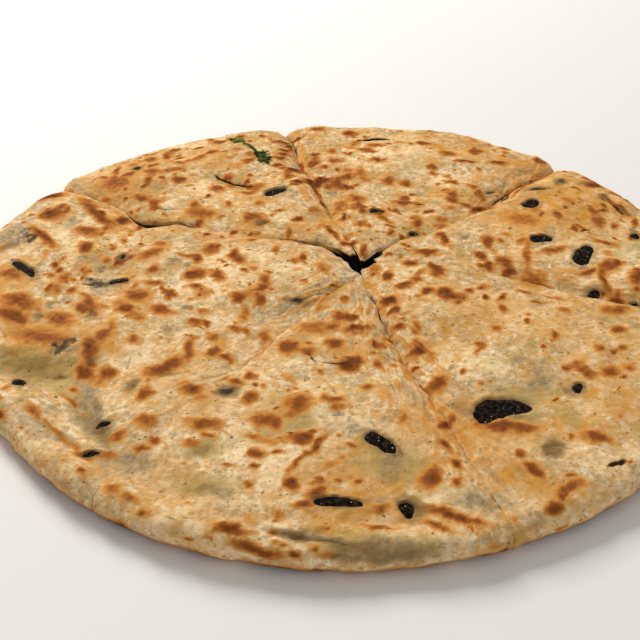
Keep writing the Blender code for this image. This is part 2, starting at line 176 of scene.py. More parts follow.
def reach(bearing):
    """Distance from the hub to the outline."""
    dx, dy = np.cos(bearing), np.sin(bearing)
    from_x, from_y = HUB - CENTRE
    along = from_x * dx + from_y * dy
    radius = RADIUS
    for _ in range(3):
        distance = -along + np.sqrt(along ** 2 + radius ** 2 - from_x ** 2 - from_y ** 2)
        radius = outline_radius(np.arctan2(from_y + distance * dy, from_x + distance * dx))
    return distance


def ellipse(x, y, centre_x, centre_y, half_length, half_width, bearing):
    """How far points lie from the middle of an ellipse, as a part of its size, squared."""
    turn = math.radians(bearing)
    dx, dy = x - centre_x, y - centre_y
    lengthwise = (dx * math.cos(turn) + dy * math.sin(turn)) / half_length
    sideways = (dy * math.cos(turn) - dx * math.sin(turn)) / half_width
    return lengthwise ** 2 + sideways ** 2


def crust_height(x, y):
    """Height of the uncut crust over the resting face."""
    height = np.full(x.shape, THICKNESS)
    for length, bearing, size, phase in CRUST_WAVES:
        turn = math.radians(bearing)
        run = x * math.cos(turn) + y * math.sin(turn)
        height += size * np.sin(2 * math.pi * run / length + math.radians(phase))
    for *place, swell in SWELLS:
        height += swell * np.exp(-ellipse(x, y, *place))
    spots = np.column_stack((x, y, np.zeros(len(x))))
    bent_x, bent_y = x + 2.5 * lumps(spots, 14, 2, 60), y + 2.5 * lumps(spots, 14, 2, 61)
    for *place, rise in DENTS:
        height += rise * np.exp(-ellipse(bent_x, bent_y, *place) ** 1.3)
    return height


def sunk(side, distance, from_cut):
    """How far the crust lies below its own height, beside a cut."""
    return read_pairs(side.fall, distance) * np.clip(1 - from_cut / side.width, 0, None) ** 2


def corner_cut(side, from_cut):
    """How far the rim is drawn in beside a cut."""
    return side.corner * np.clip(1 - from_cut / (CORNER_SPREAD * side.corner), 0, None) ** 2


def wander(cut, distance):
    """How far a cut strays to one side and the other of its smooth line."""
    line = np.column_stack((distance, np.full(len(distance), cut.bearing), np.zeros(len(distance))))
    return (0.8 * lumps(line, 9, 1, 1) + 0.45 * lumps(line, 3, 2, 2)) * np.clip(distance / 20 - 0.2, 0, 1)


def opening(cut, distance, up):
    """How wide a cut stands open: closed to a hair at its foot, ragged at the crust."""
    line = np.column_stack((distance, np.full(len(distance), cut.bearing), np.zeros(len(distance))))
    gap = read_pairs(cut.gap, distance)
    ragged = np.clip(1 + 0.7 * lumps(line, 4, 2, 3), 0.3, 2)
    return KERF + (np.maximum(gap * ragged - 0.12, 0.02) - KERF) * up


def parted(cut, distance):
    """How plainly a cut shows as a line: little where the crusts have baked together again."""
    return np.clip((read_pairs(cut.gap, distance) - 0.1) / 0.4, 0.06, 1)


def place(name, across, out, up):
    """Where points of a wedge lie, and how far each is from the cuts before and after it.

    across runs 0 to 1 between the cut sides, out 0 to 1 from tip to rim, up 0 to 1 from the
    resting face to the crust.
    """
    first = CUTS[WEDGES.index(name)]
    second = CUTS[(WEDGES.index(name) + 1) % len(CUTS)]
    start = math.radians(first.bearing)
    end = math.radians(second.bearing)
    if end < start:
        end += 2 * math.pi

    edge = reach(start + across * (end - start))
    rounding = corner_cut(first.after, edge * across * (end - start))
    rounding = rounding + corner_cut(second.before, edge * (1 - across) * (end - start))
    distance = out * edge - rounding * out ** CORNER_POWER
    tip = TIP_AT_BASE + (TIPS[name] - TIP_AT_BASE) * up
    distance = np.where(distance < TIP_ZONE, tip + (TIP_ZONE - tip) * distance / TIP_ZONE, distance)

    start = start + (read_pairs(first.bend, distance) + wander(first, distance)
                     + opening(first, distance, up) / 2) / distance
    end = end + (read_pairs(second.bend, distance) + wander(second, distance)
                 - opening(second, distance, up) / 2) / distance
    bearing = start + across * (end - start)
    x = HUB[0] + distance * np.cos(bearing)
    y = HUB[1] + distance * np.sin(bearing)

    from_first = distance * (bearing - start)
    from_second = distance * (end - bearing)
    top = crust_height(x, y)
    top -= sunk(first.after, distance, from_first)
    top -= sunk(second.before, distance, from_second)
    return np.column_stack((x, y, up * top)), bearing, distance, from_first, from_second


# ---------------------------------------------------------------------------------------------
# Marks of the pan and of what lies under the skin. Blisters that touched the hot pan are brown
# and a little raised; where the skin was rolled thinnest, mushroom shows grey through it and
# greens show olive; some places took up oil, and a few small slits are open.
# ---------------------------------------------------------------------------------------------
# (x, y, half length, half width, bearing, strength). The larger ones, where they are seen to be.
BLISTERS = (
    (-32, 38, 4, 3, 0, 0.8), (-18, 28, 4, 1.25, 90, 0.7), (-2, 29, 6, 1.25, -60, 0.8),
    (4, 27, 1.5, 1.5, 0, 0.6), (2, 40, 2, 1.5, 0, 0.6), (12, 33, 1.5, 1.5, 0, 0.6),
    (10, 18, 3.5, 1.5, 90, 0.8), (30, 37, 3, 2, 90, 0.8), (20, 29, 2.5, 1.5, 90, 0.7),
    (39, 26, 5.5, 1.8, -75, 0.95), (32, 17, 4.5, 2.2, -10, 0.9), (26, 10, 2.5, 2.5, 0, 0.9),
    (35, 6, 3, 2.3, -70, 0.9), (54, 9, 2.6, 1.8, -85, 0.9), (60.5, 6, 3, 1.9, 85, 0.9),
    (70, 40, 7.5, 5.5, -45, 0.6), (55, 24, 3.7, 2.2, -80, 0.85), (68, 16, 9, 1.4, 80, 0.6),
    (68, 1, 5, 4.4, 85, 0.6), (78, 18, 5, 2, 25, 0.75), (88, 5, 3.2, 1.4, 40, 0.75),
    (92, 0, 6.7, 1.4, 85, 0.8), (94, -10, 3.2, 2.5, 90, 0.7), (98, 40, 4, 2.4, 85, 0.75),
    (83, 42, 3.7, 1.6, -85, 0.8), (90, 35, 2.4, 1.4, -45, 0.75), (98, 25, 5, 1.8, -25, 0.75),
    (101, 76, 2.5, 1.7, -45, 0.8), (105, 71, 3.8, 2.5, -85, 0.8), (102, 48, 2.6, 0.8, 25, 0.9),
    (104, 38, 2.3, 1.4, 70, 0.75), (103, -1, 2.7, 1.9, 60, 0.75), (56, 51, 6, 1.4, 25, 0.7),
    (77, 73, 12, 0.9, 45, 0.65), (82, 76, 10, 1, 40, 0.55), (73, 66, 7.5, 0.8, 50, 0.6),
    (67, 24, 2, 1.4, 75, 0.7), (43, 118, 3, 2, 5, 0.8), (-10, 117, 3.5, 2, 0, 0.75),
    (11, 97, 3, 2.4, 5, 0.8), (-3, 95, 2.8, 2, 90, 0.7), (16, 86, 3.4, 2.2, -15, 0.85),
    (0, 67, 4, 2.6, -55, 0.8), (9, 75, 5, 2, 90, 0.6), (7, 55, 4, 3, -45, 0.75),
    (1, 50, 5, 2.6, 85, 0.65), (38, 81, 2.8, 1.9, -50, 0.75), (46, 94, 4.3, 2.7, -25, 0.75),
    (58, 97, 4.3, 2.9, 80, 0.8), (50, 52, 2.6, 1.4, -20, 0.7), (53, 65, 2.0, 1.1, -40, 0.8),
    (18, -15.5, 2.8, 2.6, 0, 1), (-4, -16, 3, 1.2, 60, 0.5), (28, -2, 2.5, 2, 0, 0.7),
    (18, 0, 3, 1.5, 90, 1), (50, -5, 2, 1.5, 0, 0.7), (42, -11, 2.5, 2.5, 0, 0.7),
    (30, -11, 1.5, 1.5, 0, 0.6), (52, -29, 2, 2, 0, 0.7), (46, -39, 2, 2, 0, 0.7),
    (26, -31, 4, 1.5, 90, 0.5), (30, -45, 3, 1.5, 90, 0.5), (-6, -31, 6, 3.6, 0, 0.6),
    (2, -25, 3, 3, 0, 0.8), (0, -39, 2.5, 2.5, 0, 0.9), (-14, -41, 3.5, 3.5, 0, 0.9),
    (-8, -44, 2.5, 2.5, 0, 0.7), (-22, -34, 3, 2, 90, 0.7), (4, -50, 3, 3, 0, 1), (8, -47, 2, 2, 0, 0.6),
    (14, -49, 3, 1.5, 90, 0.7), (-30, -23, 4, 1.5, 90, 0.6), (-32, -32, 2.5, 2, 0, 0.6),
    (-24, -4, 3.5, 2, 90, 0.7), (-35, 9, 4, 2, -50, 0.8), (-41, -2, 3.5, 2, -60, 0.85),
    (-49, -1, 4, 3, 40, 0.95), (-47, -9, 2.5, 2, -5, 0.75), (-53, 11, 3.5, 1.5, -10, 0.7),
    (-64, 18, 2.5, 1.5, 0, 0.6), (-66, 11, 6, 2.5, 45, 0.75), (-62, -8, 4, 1.5, -15, 0.7),
    (-57, -23, 5, 2.5, -20, 0.85), (-69, -23, 3, 2.5, 70, 0.9), (-66, -15, 4.5, 3.5, -10, 0.8),
    (-82, -18, 5, 1.5, -50, 0.7), (-89, -29, 6, 3, -40, 0.7), (-93, -38, 9, 4.2, -15, 0.75),
    (-77, -43, 3.5, 2, -70, 0.85), (-73, -39, 4, 2.5, 70, 0.75), (-105, -28, 5.5, 3, -20, 0.9),
    (-105, -20, 7, 4, -15, 0.75), (-112, -3, 5.5, 3.5, -35, 0.7), (-90, 14, 4, 2.5, -70, 1),
    (-92, 26, 5.5, 3, -25, 0.8), (-91, 38, 12, 2.2, -50, 0.85), (-107, 21, 9.5, 2, -50, 0.9),
    (-105, 42, 2.5, 2, -40, 0.6), (-108, 37, 4.5, 4, 0, 1), (-113, 53, 6, 3, 5, 0.9),
    (-45, -29, 2.5, 2, -10, 0.7), (-45, -44, 6, 1.6, -85, 0.75), (-50, -53, 5.5, 2.7, 45, 0.85),
    (-37, -45, 3, 2, 65, 0.8), (-33, -48, 2.5, 1.5, -30, 0.8), (-68, -55, 3, 2, -40, 0.85),
    (-63, -40, 2.5, 2, -50, 0.7), (-55, -66, 3, 2.2, -80, 0.8), (-55, -56, 3, 2.5, -10, 0.5),
    (-94, -60, 2.7, 1, -35, 0.8), (-52, 41, 6, 4.5, 0, 0.7), (-76, 51, 3.5, 2.5, 0, 0.8),
    (-88, 61, 6, 6, 0, 0.7), (-90, 73, 5, 1.5, 90, 0.8), (-94, 67, 2, 2, 0, 0.7), (-90, 50, 2, 2, 0, 0.7),
    (-76, 65, 3, 1.5, 90, 0.8), (-64, 67, 3, 2.5, 0, 0.9), (-72, 89, 4.5, 2, 90, 0.8),
    (-78, 85, 2.5, 2.5, 0, 0.8), (-66, 82, 2.5, 1.5, 0, 0.7), (-58, 87, 2.5, 2.5, 0, 0.7),
    (-48, 61, 3, 3, 0, 0.8), (-36, 59, 4, 2, 0, 0.7), (-42, 48, 2.5, 1.5, 90, 0.7),
    (-30, 49, 2.5, 2.5, 0, 0.6), (46, 68, 2.6, 1.4, -20, 0.85), (45, 55, 2.8, 1.8, -50, 0.85),
    (26, 57, 2.5, 2, 90, 0.8), (20, 70, 3.5, 2.5, 90, 0.8), (52, 85, 4.5, 1.5, 0, 0.9),
    (66, 85, 4.5, 1.5, 0, 0.9), (64, -8, 3, 0.9, -25, 0.7), (67, -13, 3.3, 0.9, -10, 0.7),
    (74, -11, 3.6, 0.9, -25, 0.6), (76, -18, 2.3, 1.2, -25, 0.6), (56, -17, 2.5, 1.5, 90, 0.7),
    (70, -33, 2.5, 1.5, 90, 0.7), (78, -52, 2, 2, 0, 0.7), (90, -49, 2, 2, 0, 0.7),
    (10, -61, 1.75, 1.75, 0, 0.7), (-10, -69, 4, 4, 0, 0.8), (-2, -67, 2, 1.5, 90, 0.6),
    (-16, -77, 3, 2, 90, 0.7), (-24, -67, 3, 2, 90, 0.8), (-36, -78, 5, 2.5, 0, 0.8),
    (-42, -63, 3, 2.5, 0, 0.8), (-60, -83, 2.5, 2, 0, 0.7), (-52, -88, 2.5, 1.5, 0, 0.7),
    (-62, -90, 3, 1.5, 0, 0.6), (20, -75, 2, 1.5, 90, 0.6), (33, -74, 3.5, 1.3, 50, 0.8),
    (31, -84, 2.5, 1.3, -55, 0.9), (34, -91, 2.3, 1.4, -55, 0.85), (34, -98, 1.5, 1.1, 80, 0.8),
    (27, -97, 4, 2.7, 60, 0.85), (32, -110.5, 8, 1.5, -20, 0.9), (28, -114, 4, 1.2, -30, 0.8),
    (36, -115, 2.2, 0.6, -50, 0.7), (48, -77.5, 6, 2.4, 8, 0.85), (55, -77.2, 4, 1.9, 0, 0.7),
    (55, -94, 3.3, 1.9, -45, 0.9), (74, -80, 4, 2.3, -5, 0.8), (67, -80, 1.9, 1.1, 75, 0.75),
    (63, -100, 4.8, 1.8, 35, 0.75), (61, -103, 1.5, 1.2, 55, 0.8), (79, -90, 4, 0.7, 15, 0.85),
    (64, -95, 1.6, 0.7, 5, 0.7), (-20, -90, 2.5, 1.8, 0, 0.9), (-15, -89, 1.2, 1, 0, 0.8),
    (-4, -86, 5, 1, 55, 0.85), (-9, -93, 5, 0.9, 65, 0.75), (-10, -101, 2.4, 1.6, 95, 0.9),
    (-28, -95, 1.5, 0.8, 0, 0.75), (0, -93, 2.5, 1.5, 10, 0.45), (-3, -98, 1.1, 1.1, 90, 0.7),
    (7, -99, 1.1, 0.9, 10, 0.7), (13, -108, 2.7, 1.5, 25, 0.7), (13, -114, 4.8, 0.5, 0, 0.8),
    (0, -115, 1.4, 0.5, 0, 0.75), (-25, -117.5, 4, 1.7, -10, 0.95), (-22, -122, 2.6, 1.1, -20, 0.7),
    (-31, -120, 1.2, 1.1, -50, 0.6), (-18, -124.5, 6, 1.6, -10, 0.9), (-8, -125, 1.8, 1.3, 0, 0.8),
    (0, -125, 2.2, 1.3, 0, 0.55), (-14, -118, 1.5, 0.8, 0, 0.85), (-16, 84, 5, 1.2, 110, 0.55),
    (-10, 63, 5, 1.2, 112, 0.9), (-6, 53, 4, 1.1, 110, 0.85), (-20, 97, 3, 1, 100, 0.5),
    (109, 50, 5.5, 2, -68, 1), (105, 58, 4, 1, -60, 0.9), (102, 70, 4.5, 2.2, 35, 1),
    (112, 40, 3, 1.2, 80, 0.8), (-77, -82, 12, 0.8, -43, 0.45), (-68, -90.5, 3, 1.4, -30, 0.9),
    (-77, -66.5, 6, 0.8, -40, 0.5), (-75, -68.5, 4, 0.6, -42, 0.5), (-86, -74, 3, 1.6, -30, 0.5),
)
# Mushroom under thin skin: grey, moist.
GREY = (
    (-14, -15, 6, 4.5, 10, 0.9), (-20, -22, 8, 5, 10, 0.6), (-96, -27, 4.5, 3.4, 0, 0.9),
    (-79, -27, 4.5, 3.4, 0, 0.9), (-79, -9, 6, 5, 90, 0.9), (-31, -64, 3.5, 3, 0, 0.9),
    (-83, -43, 5, 4, 0, 0.9), (-58, 7, 3, 2.5, 0, 0.7), (61, -85, 5, 4, 90, 0.8), (46, 28, 4, 3, 90, 0.7),
    (-120, 22, 11, 7, 70, 0.9), (-113, 39, 9, 5, 70, 0.6), (-77, 7, 13, 7, 0, 0.5),
    (-84, -80, 8, 4, -45, 0.6), (-69, -77, 10, 2.8, -52, 0.9), (-57, -94, 10, 4, -12, 0.8),
    (-92, -54, 15, 3.6, -8, 0.5), (16, -93, 3.4, 7, 5, 0.7), (14, -105.5, 4.5, 2.4, 0, 0.8),
    (40, -105, 9, 4, -10, 0.8), (-67, -75, 14, 3.4, -64, 0.9), (-93, -61, 5, 3, -30, 0.9),
    (112, 48, 5, 3, 70, 0.8), (88, 69, 4, 2.5, 80, 0.7), (13, -123.5, 12, 4.5, 0, 1.0),
    (-4, -118.5, 10, 1.8, -5, 0.9), (14, -121, 8, 3.5, 0, 0.9), (-84, 75, 3, 2, 90, 0.6),
    (-75, 8, 2.5, 2, 90, 0.7), (72, -58, 3, 2.5, 0, 0.7), (-60, -62, 2.5, 2, 0, 0.7),
    (-50, -57, 2.5, 1.5, 0, 0.6), (48, -68, 13, 7, 20, 0.6), (14, -84, 8, 4, -38, 0.6),
    (-48.8, -21.3, 3, 2.2, 20, 0.8), (-64.6, 52.5, 2.5, 1.8, 0, 0.6), (72.6, 20.5, 4, 2, 0, 0.6),
    (-73.5, -49, 4, 2.5, 30, 0.7), (-75, -84, 5, 2.5, -45, 0.6), (88, -7, 4, 3, 20, 0.8),
    (-104, -3, 9, 4, -46, 0.6), (30, 52, 3, 1.5, 0, 0.6), (-116, 48, 7, 3, 50, 0.6),
)
# Mushroom close under the skin: dark smudges.
SMUDGES = (
    (-13.4, -14.6, 3.6, 2.2, 10, 0.95), (-31, -63.5, 3.2, 2.2, 20, 0.95), (61, -85, 4.0, 2.8, 70, 0.8),
    (-59.5, -62, 2.4, 1.4, 60, 0.8), (-83.5, -54, 1.6, 1.2, 0, 0.9), (-29, 34, 2.2, 1.6, 20, 0.6),
    (47, 27, 2.4, 1.6, 30, 0.6), (104, 60, 3.0, 1.6, 70, 0.8), (22, -107, 3.4, 2.4, -60, 0.7),
    (-118, 15, 4.0, 2.0, 70, 0.7), (88, -5, 2.6, 1.8, 20, 0.8), (-5.5, -118.6, 9, 1.3, -12, 0.85),
    (3, -119.8, 6, 1.2, -8, 0.6), (20, -106.5, 3.0, 2.4, -50, 0.7), (-36.6, -88.6, 3.6, 2.2, 35, 0.5),
    (-33.4, -103.7, 4, 1.7, 10, 0.55), (-65.5, -77.5, 4.5, 1.2, -65, 0.6),
    (-69.5, -67.7, 3.5, 0.9, -60, 0.6), (-62.5, -85, 3.5, 0.9, -65, 0.5), (-52, 5, 1.6, 1.2, 0, 0.6),
    (70, -60, 3.0, 1.6, -30, 0.6), (52, -72, 3.0, 1.5, 15, 0.5), (79.5, 64.5, 4.5, 1.3, 5, 0.9),
    (89.5, 71, 3.0, 2.0, 60, 0.9), (98, 70.5, 3, 1.5, 30, 0.7), (110, 48, 4.5, 1.0, -60, 0.6),
    (14, -123.5, 11, 3.6, 0, 0.5), (7, -121, 8, 2.0, -6, 0.4), (-66, -80, 5, 1.6, -52, 0.55),
    (-71, -72, 4, 1.4, -50, 0.4), (-96.2, -26.9, 1.8, 1.1, 0, 0.75), (-78.9, -26.3, 1.8, 1.2, 30, 0.75),
    (-48.8, -21.3, 1.6, 1.2, 0, 0.6), (-52.5, -34.2, 1.5, 0.8, 10, 0.6), (-57, 7.8, 1.4, 1.0, 0, 0.6),
    (-49.1, -56.8, 2.0, 0.9, 20, 0.8), (-93.9, -20, 1.6, 0.8, 0, 0.6), (-46.6, 16.2, 1.6, 0.7, -20, 0.5),
    (-73.5, -49, 1.8, 1.0, 30, 0.6), (110.6, 34.5, 2.2, 1.4, 70, 0.8),
)
# Places where moist mushroom lies bare in shreds: grey and near black, with small painted glints.
WET = (
    (-84, -42, 5, 3.5, 60, 0.9), (-81.5, -7, 6, 3.5, -15, 0.95), (-19.6, -22, 5.5, 3, 0, 0.4),
    (-13.4, -14.8, 4, 2.4, 10, 0.9), (-96, -27, 2.8, 2.2, 0, 0.55), (-79, -27, 2.5, 2.3, 0, 0.55),
    (-113, 22, 7, 3, -60, 0.85), (60.5, -85, 5, 3.4, 40, 0.8), (-31, -64, 3.5, 2.2, 20, 0.7),
    (40, -105, 7, 3, -10, 0.35), (66, -88, 4, 2.5, 20, 0.4), (88, 62, 4, 2.5, 60, 0.6),
    (104, 60, 3, 1.6, 70, 0.7), (-3.5, -106, 2.6, 1.2, 0, 0.8), (17.5, -87.5, 3, 2, -38, 0.8),
    (58, -64, 5, 2.5, 20, 0.3), (-66, -76, 7, 3, -62, 0.4),
)
# Greens under thin skin: olive.
OLIVE = (
    (-36, -88, 6, 4, 20, 0.8), (-33, -103, 8, 4, 0, 0.8), (-20, -83, 5, 3, 0, 0.7),
    (12, -91, 7, 5, 0, 0.7), (56, -48, 13, 9, 20, 0.35), (-90, -54, 16, 5, -30, 1.0),
    (-69, -76, 12, 3.2, -52, 0.9), (12, -121, 14, 5, 0, 1.0), (-76, 37, 7, 3, 10, 0.9),
    (-44, 68, 11, 4, -30, 0.9), (30, 82, 14, 6, 10, 0.4), (100, 88, 14, 5, -40, 0.7),
    (-42, 100, 9, 5, -50, 0.6), (104, 20, 10, 8, 60, 0.5), (66, -64, 12, 6, 20, 0.4),
    (36, -104, 12, 5, 0, 0.5), (-46, 15, 4, 3, 0, 0.6), (-84, 8, 5, 3, -30, 0.9), (-78, 4, 13, 7, 0, 0.4),
    (90, -90, 8, 5, 40, 0.5), (62, -60, 6, 3, 30, 0.5), (20, -92, 9, 6, -30, 0.7),
    (-1.5, -12.5, 10, 1.8, 60, 1.0), (-90, -52, 17, 4.5, -8, 1.0), (88, -76, 6, 3, 60, 0.6),
)
# Places that took up oil: golden to orange.
GOLDEN = (
    (86, 52, 24, 19, 40, 0.85), (83, 56, 12, 5, 25, 1.0), (97, 47, 9, 3, 60, 1.0),
    (62, -20, 26, 16, -10, 0.35), (90, -30, 18, 20, 0, 0.3), (45, 105, 22, 9, -10, 0.5),
    (-46, -99, 14, 7, -20, 0.45), (63, -101, 9, 4, 0, 0.8), (18, -98, 7, 4, 0, 0.5),
    (18.2, -98.4, 2.2, 2.8, 0, 1.0), (48, -94, 8, 5, 0, 0.6), (-10, -32, 12, 8, 0, 0.2),
    (50, -79, 15, 5, 5, 0.8), (31, -74, 12, 10, 0, 0.7), (4, -98, 12, 8, 0, 0.6),
    (-76, -95, 12, 6, -46, 0.25), (48, -94.7, 3.2, 3, 0, 1.0), (-88, 61, 14, 12, 0, 0.6),
    (20, -111, 22, 4, 0, 0.6), (-90, -36, 16, 8, -15, 0.6), (11.5, -4, 5, 1.2, -68, 1.0),
    (50, -20, 10, 5, 20, 0.6), (70, 88, 14, 6, -10, 0.9), (-70, 80, 18, 12, 30, 0.4),
    (92, -66, 12, 9, 50, 0.5), (-46, -54, 12, 7, 30, 0.5),
)
# Small slits, tears and cracks: (x, y, half length, half width, bearing, curl, depth).
SLITS = (
    (-43, 68.0, 9.5, 0.8, -28, -1.6, 1.1), (-6.6, -46.8, 3.4, 0.45, -48, 0.3, 0.5),
    (1, -48.6, 4.5, 0.55, 6, -0.4, 0.6), (15, 109, 7, 1.4, 4, 0.6, 1.0),
    (33, -110, 6, 0.6, -15, 0.4, 0.15), (78, -90, 4, 0.8, 25, 0, 0.6), (32, 52, 2.5, 0.7, 10, 0, 0.5),
    (79, 64, 3, 0.8, 10, 0.3, 0.6), (-16, 111, 5, 0.9, 60, 0, 0.32), (-65, -77, 2, 0.8, 0, 0, 0.5),
    (-66, -90, 3, 0.8, 10, 0.2, 0.5), (16, 44, 2, 1.2, 0, 0, 0.7), (-11, 93, 4, 0.8, -20, 0.5, 0.5),
    (-20, 101, 5, 0.7, 42, 0.4, 0.5), (-6, -118, 8, 1.0, -6, 0.3, 0.25),
    (2, -123.5, 2.2, 1.0, 20, 0, 0.3), (64.5, 60.3, 7, 0.4, 47, 0.3, 0.6), (3, 42, 3, 0.7, 75, 0.4, 0.4),
    (-66, 44, 5, 0.7, 5, 0.5, 0.4), (60, 62, 3, 0.7, 20, 0.2, 0.4), (-1.4, -11.5, 5.5, 0.7, 58, 0.5, 0.3),
    (92, 33, 3, 0.7, 40, 0.3, 0.5), (-25, 117, 3, 0.7, 10, 0.2, 0.5), (107, 52, 7, 0.6, -62, 1.2, 0.7),
)
# Skin without small blisters: (x, y, radius).
CLEAR = (
    (-104, -50, 7), (-94, -53, 8), (-84, -56, 8), (56, -50, 13), (54, -22, 6), (15, -95, 10),
    (36, -105, 6), (10, -122, 11), (-118, 22, 9), (86, 62, 5), (-70, -75, 7), (48, -68.5, 11),
    (14, -84.5, 7), (2.5, -106, 7), (-20, -22, 6), (-81, -7, 5), (88, 16, 7), (11, -4, 4), (-24, 58, 5),
    (12, -33, 5), (37, 57, 7), (-34, -100, 6), (-67, -75, 7), (24, -34, 4), (36, -22, 8),
)


def inside(points, table, spread=1.0):
    """How strongly a table's marks cover each point, 0 to 1: full within, soft at the edge."""
    bare = np.ones(len(points))
    for x, y, half_length, half_width, bearing, strength in table:
        reach_out = 1.8 * spread * half_length
        near = np.flatnonzero((np.abs(points[:, 0] - x) < reach_out) & (np.abs(points[:, 1] - y) < reach_out))
        part = np.sqrt(ellipse(points[near, 0], points[near, 1], x, y, half_length, half_width, bearing))
        cover = np.clip((1.75 - part / spread) / 1.5, 0, 1)
        bare[near] *= 1 - strength * cover * cover * (3 - 2 * cover)
    return 1 - bare


def jitter(points, size, amount, seed):
    """Points moved about a little by chance, so that what is drawn on them has ragged edges."""
    return points + amount * np.column_stack([lumps(points, size, 2, seed + axis) for axis in range(3)])


def scatter(seed, count, longest, shortest, strength, keep_off=()):
    """Marks strewn by chance, thicker in some places than in others and turned like their
    neighbours: along the rim near it, any way further in. Clear of marks that have their place."""
    chance = np.random.RandomState(seed)
    draws = 6 * count
    out = RADIUS * np.sqrt(chance.uniform(0, 1.12, draws))
    bearing = chance.uniform(0, 2 * math.pi, draws)
    spots = np.column_stack((CENTRE[0] + out * np.cos(bearing), CENTRE[1] + out * np.sin(bearing), 0 * out))
    kept = chance.uniform(0, 1, draws) < (0.45 + 0.8 * lumps(spots, 34, 2, seed)
                                          + 0.28 * (spots[:, 1] - 0.5 * spots[:, 0]) / RADIUS)
    for mark in keep_off:
        kept &= np.hypot(spots[:, 0] - mark[0], spots[:, 1] - mark[1]) > 0.8 * mark[2] + 0.8
    spots, out, bearing = spots[kept][:count], out[kept][:count], bearing[kept][:count]
    turns = np.degrees(bearing) + 90 + np.interp(out, (80, 115), (75, 10)) * lumps(spots, 30, 2, seed + 1)
    halves = shortest + (longest - shortest) * chance.uniform(0, 1, len(out)) ** 2.2
    halves = halves * np.interp(out, (105, 120), (1, 0.7))
    slim = chance.uniform(0.4, 0.9, len(out))
    strengths = strength * chance.uniform(0.45, 1.0, len(out))
    return list(zip(spots[:, 0], spots[:, 1], halves, halves * slim, turns, strengths))


crust_blisters = list(BLISTERS) + scatter(7, 920, 3.6, 0.7, 0.95, BLISTERS + CLEAR)
base_blisters = scatter(8, 700, 6.0, 1.0, 1.0)
crust_grey = list(GREY) + scatter(9, 260, 5.0, 1.0, 0.9)
crust_olive = list(OLIVE) + scatter(10, 150, 7.0, 1.5, 0.8)
crust_golden = list(GOLDEN) + scatter(11, 240, 6.5, 1.2, 0.95)

# ---------------------------------------------------------------------------------------------
# Dark mushroom pieces, torn through the skin. (x, y, half length, half width, bearing, curl).
# The ten stand where the solid model's do, in slightly different sizes; it leaves out the scraps.
# ---------------------------------------------------------------------------------------------
MUSHROOMS = (
    (48.5, -68.8, 9.4, 4.1, 20, 3.2), (14, -84.5, 5.4, 1.9, -38, 0.4), (2.5, -106.5, 6.6, 1.6, -3, 0.8),
    (20, -108, 2.7, 1.7, -70, 0.3), (88, 15.5, 7.0, 2.7, 62, 0.6), (74.5, 25, 4.0, 2.3, 8, 0.5),
    (75, 52.5, 3.6, 2.8, 55, 0), (-24.5, 58.5, 4.8, 2.6, 25, 0.9), (-108.5, 1, 7.6, 1.5, -46, 0.5),
    (-74, -6.5, 3.3, 1.4, 5, 0.3),
)
SCRAPS = (
    (-82, 75, 2.4, 1.3, 80, 0.2), (14, 44, 1.9, 1.4, 10, 0.1), (88, -7, 1.9, 1.5, 20, 0),
    (100, -13, 1.9, 1.3, 40, 0), (73, -58, 2.2, 1.4, 60, 0.2), (110, 31, 2.2, 1.4, 60, 0),
    (-65.5, -77, 1.9, 0.9, 5, 0.1), (-75.5, 8, 2.0, 1.0, 85, 0), (-93.5, -61, 2.4, 1.4, -35, 0.3),
    (28.5, 30, 1.5, 1.0, 0, 0), (-66, -90, 2.6, 0.9, 10, 0.1),
)
STRIP_DEPTH = 1.25
SCRAP_DEPTH = 0.8
SOCKET_WALL = 0.9
LIP_HEIGHT = 0.35
LIP_PLACE = 1.18
LIP_SPREAD = 0.22


def sockets(points, table, depth):
    """How far the crust is pressed down under mushroom pieces, and raised in a torn lip round them."""
    change = np.zeros(len(points))
    for x, y, half_length, half_width, bearing, curl in table:
        near = np.flatnonzero((np.abs(points[:, 0] - x) < 2 * half_length + 2)
                              & (np.abs(points[:, 1] - y) < 2 * half_length + 2))
        turn = math.radians(bearing)
        dx, dy = points[near, 0] - x, points[near, 1] - y
        lengthwise = (dx * math.cos(turn) + dy * math.sin(turn)) / (half_length + CLEARANCE)
        sideways = dy * math.cos(turn) - dx * math.sin(turn) + curl * lengthwise ** 2
        sideways /= half_width * (1 - 0.25 * np.clip(lengthwise, -1, 1)) + CLEARANCE
        part = np.sqrt(np.abs(lengthwise) ** 3 + sideways ** 2)
        wall = np.clip((1 - part) * min(half_width, 2.2) / SOCKET_WALL, 0, 1)
        bowl = (depth + CLEARANCE) * wall * wall * (3 - 2 * wall)
        change[near] += LIP_HEIGHT * np.exp(-((part - LIP_PLACE) / LIP_SPREAD) ** 2) - bowl
    return change


# ---------------------------------------------------------------------------------------------
# The dough. Each wedge is one closed piece: two skins of fried dough, open along its cut sides
# and meeting in the rounded rim. Its section is spun round, laid out as the form above says,
# and then gets the crust's lumps, blisters, wrinkles, slits and sockets as real relief.
# ---------------------------------------------------------------------------------------------
TOP_ROWS = 170
INNER_ROWS = 17
BASE_ROWS = 68
RIM_POINTS = 30
COLUMN_SPACING = 0.72
EDGE_ROUND = 0.5
EDGE_WIDTH = 0.9
STAIN = 1.3
FOLD_SHADE = 0.12
CRUMB_NEAR_TIP = 14
NEXT_TO_NOTHING = 1e-5


def add_row(mesh, outs, up):
    """A row of section corners at one height: x holds 1 + out, z holds up."""
    return [mesh.verts.new((1 + out, 0, up)) for out in outs]


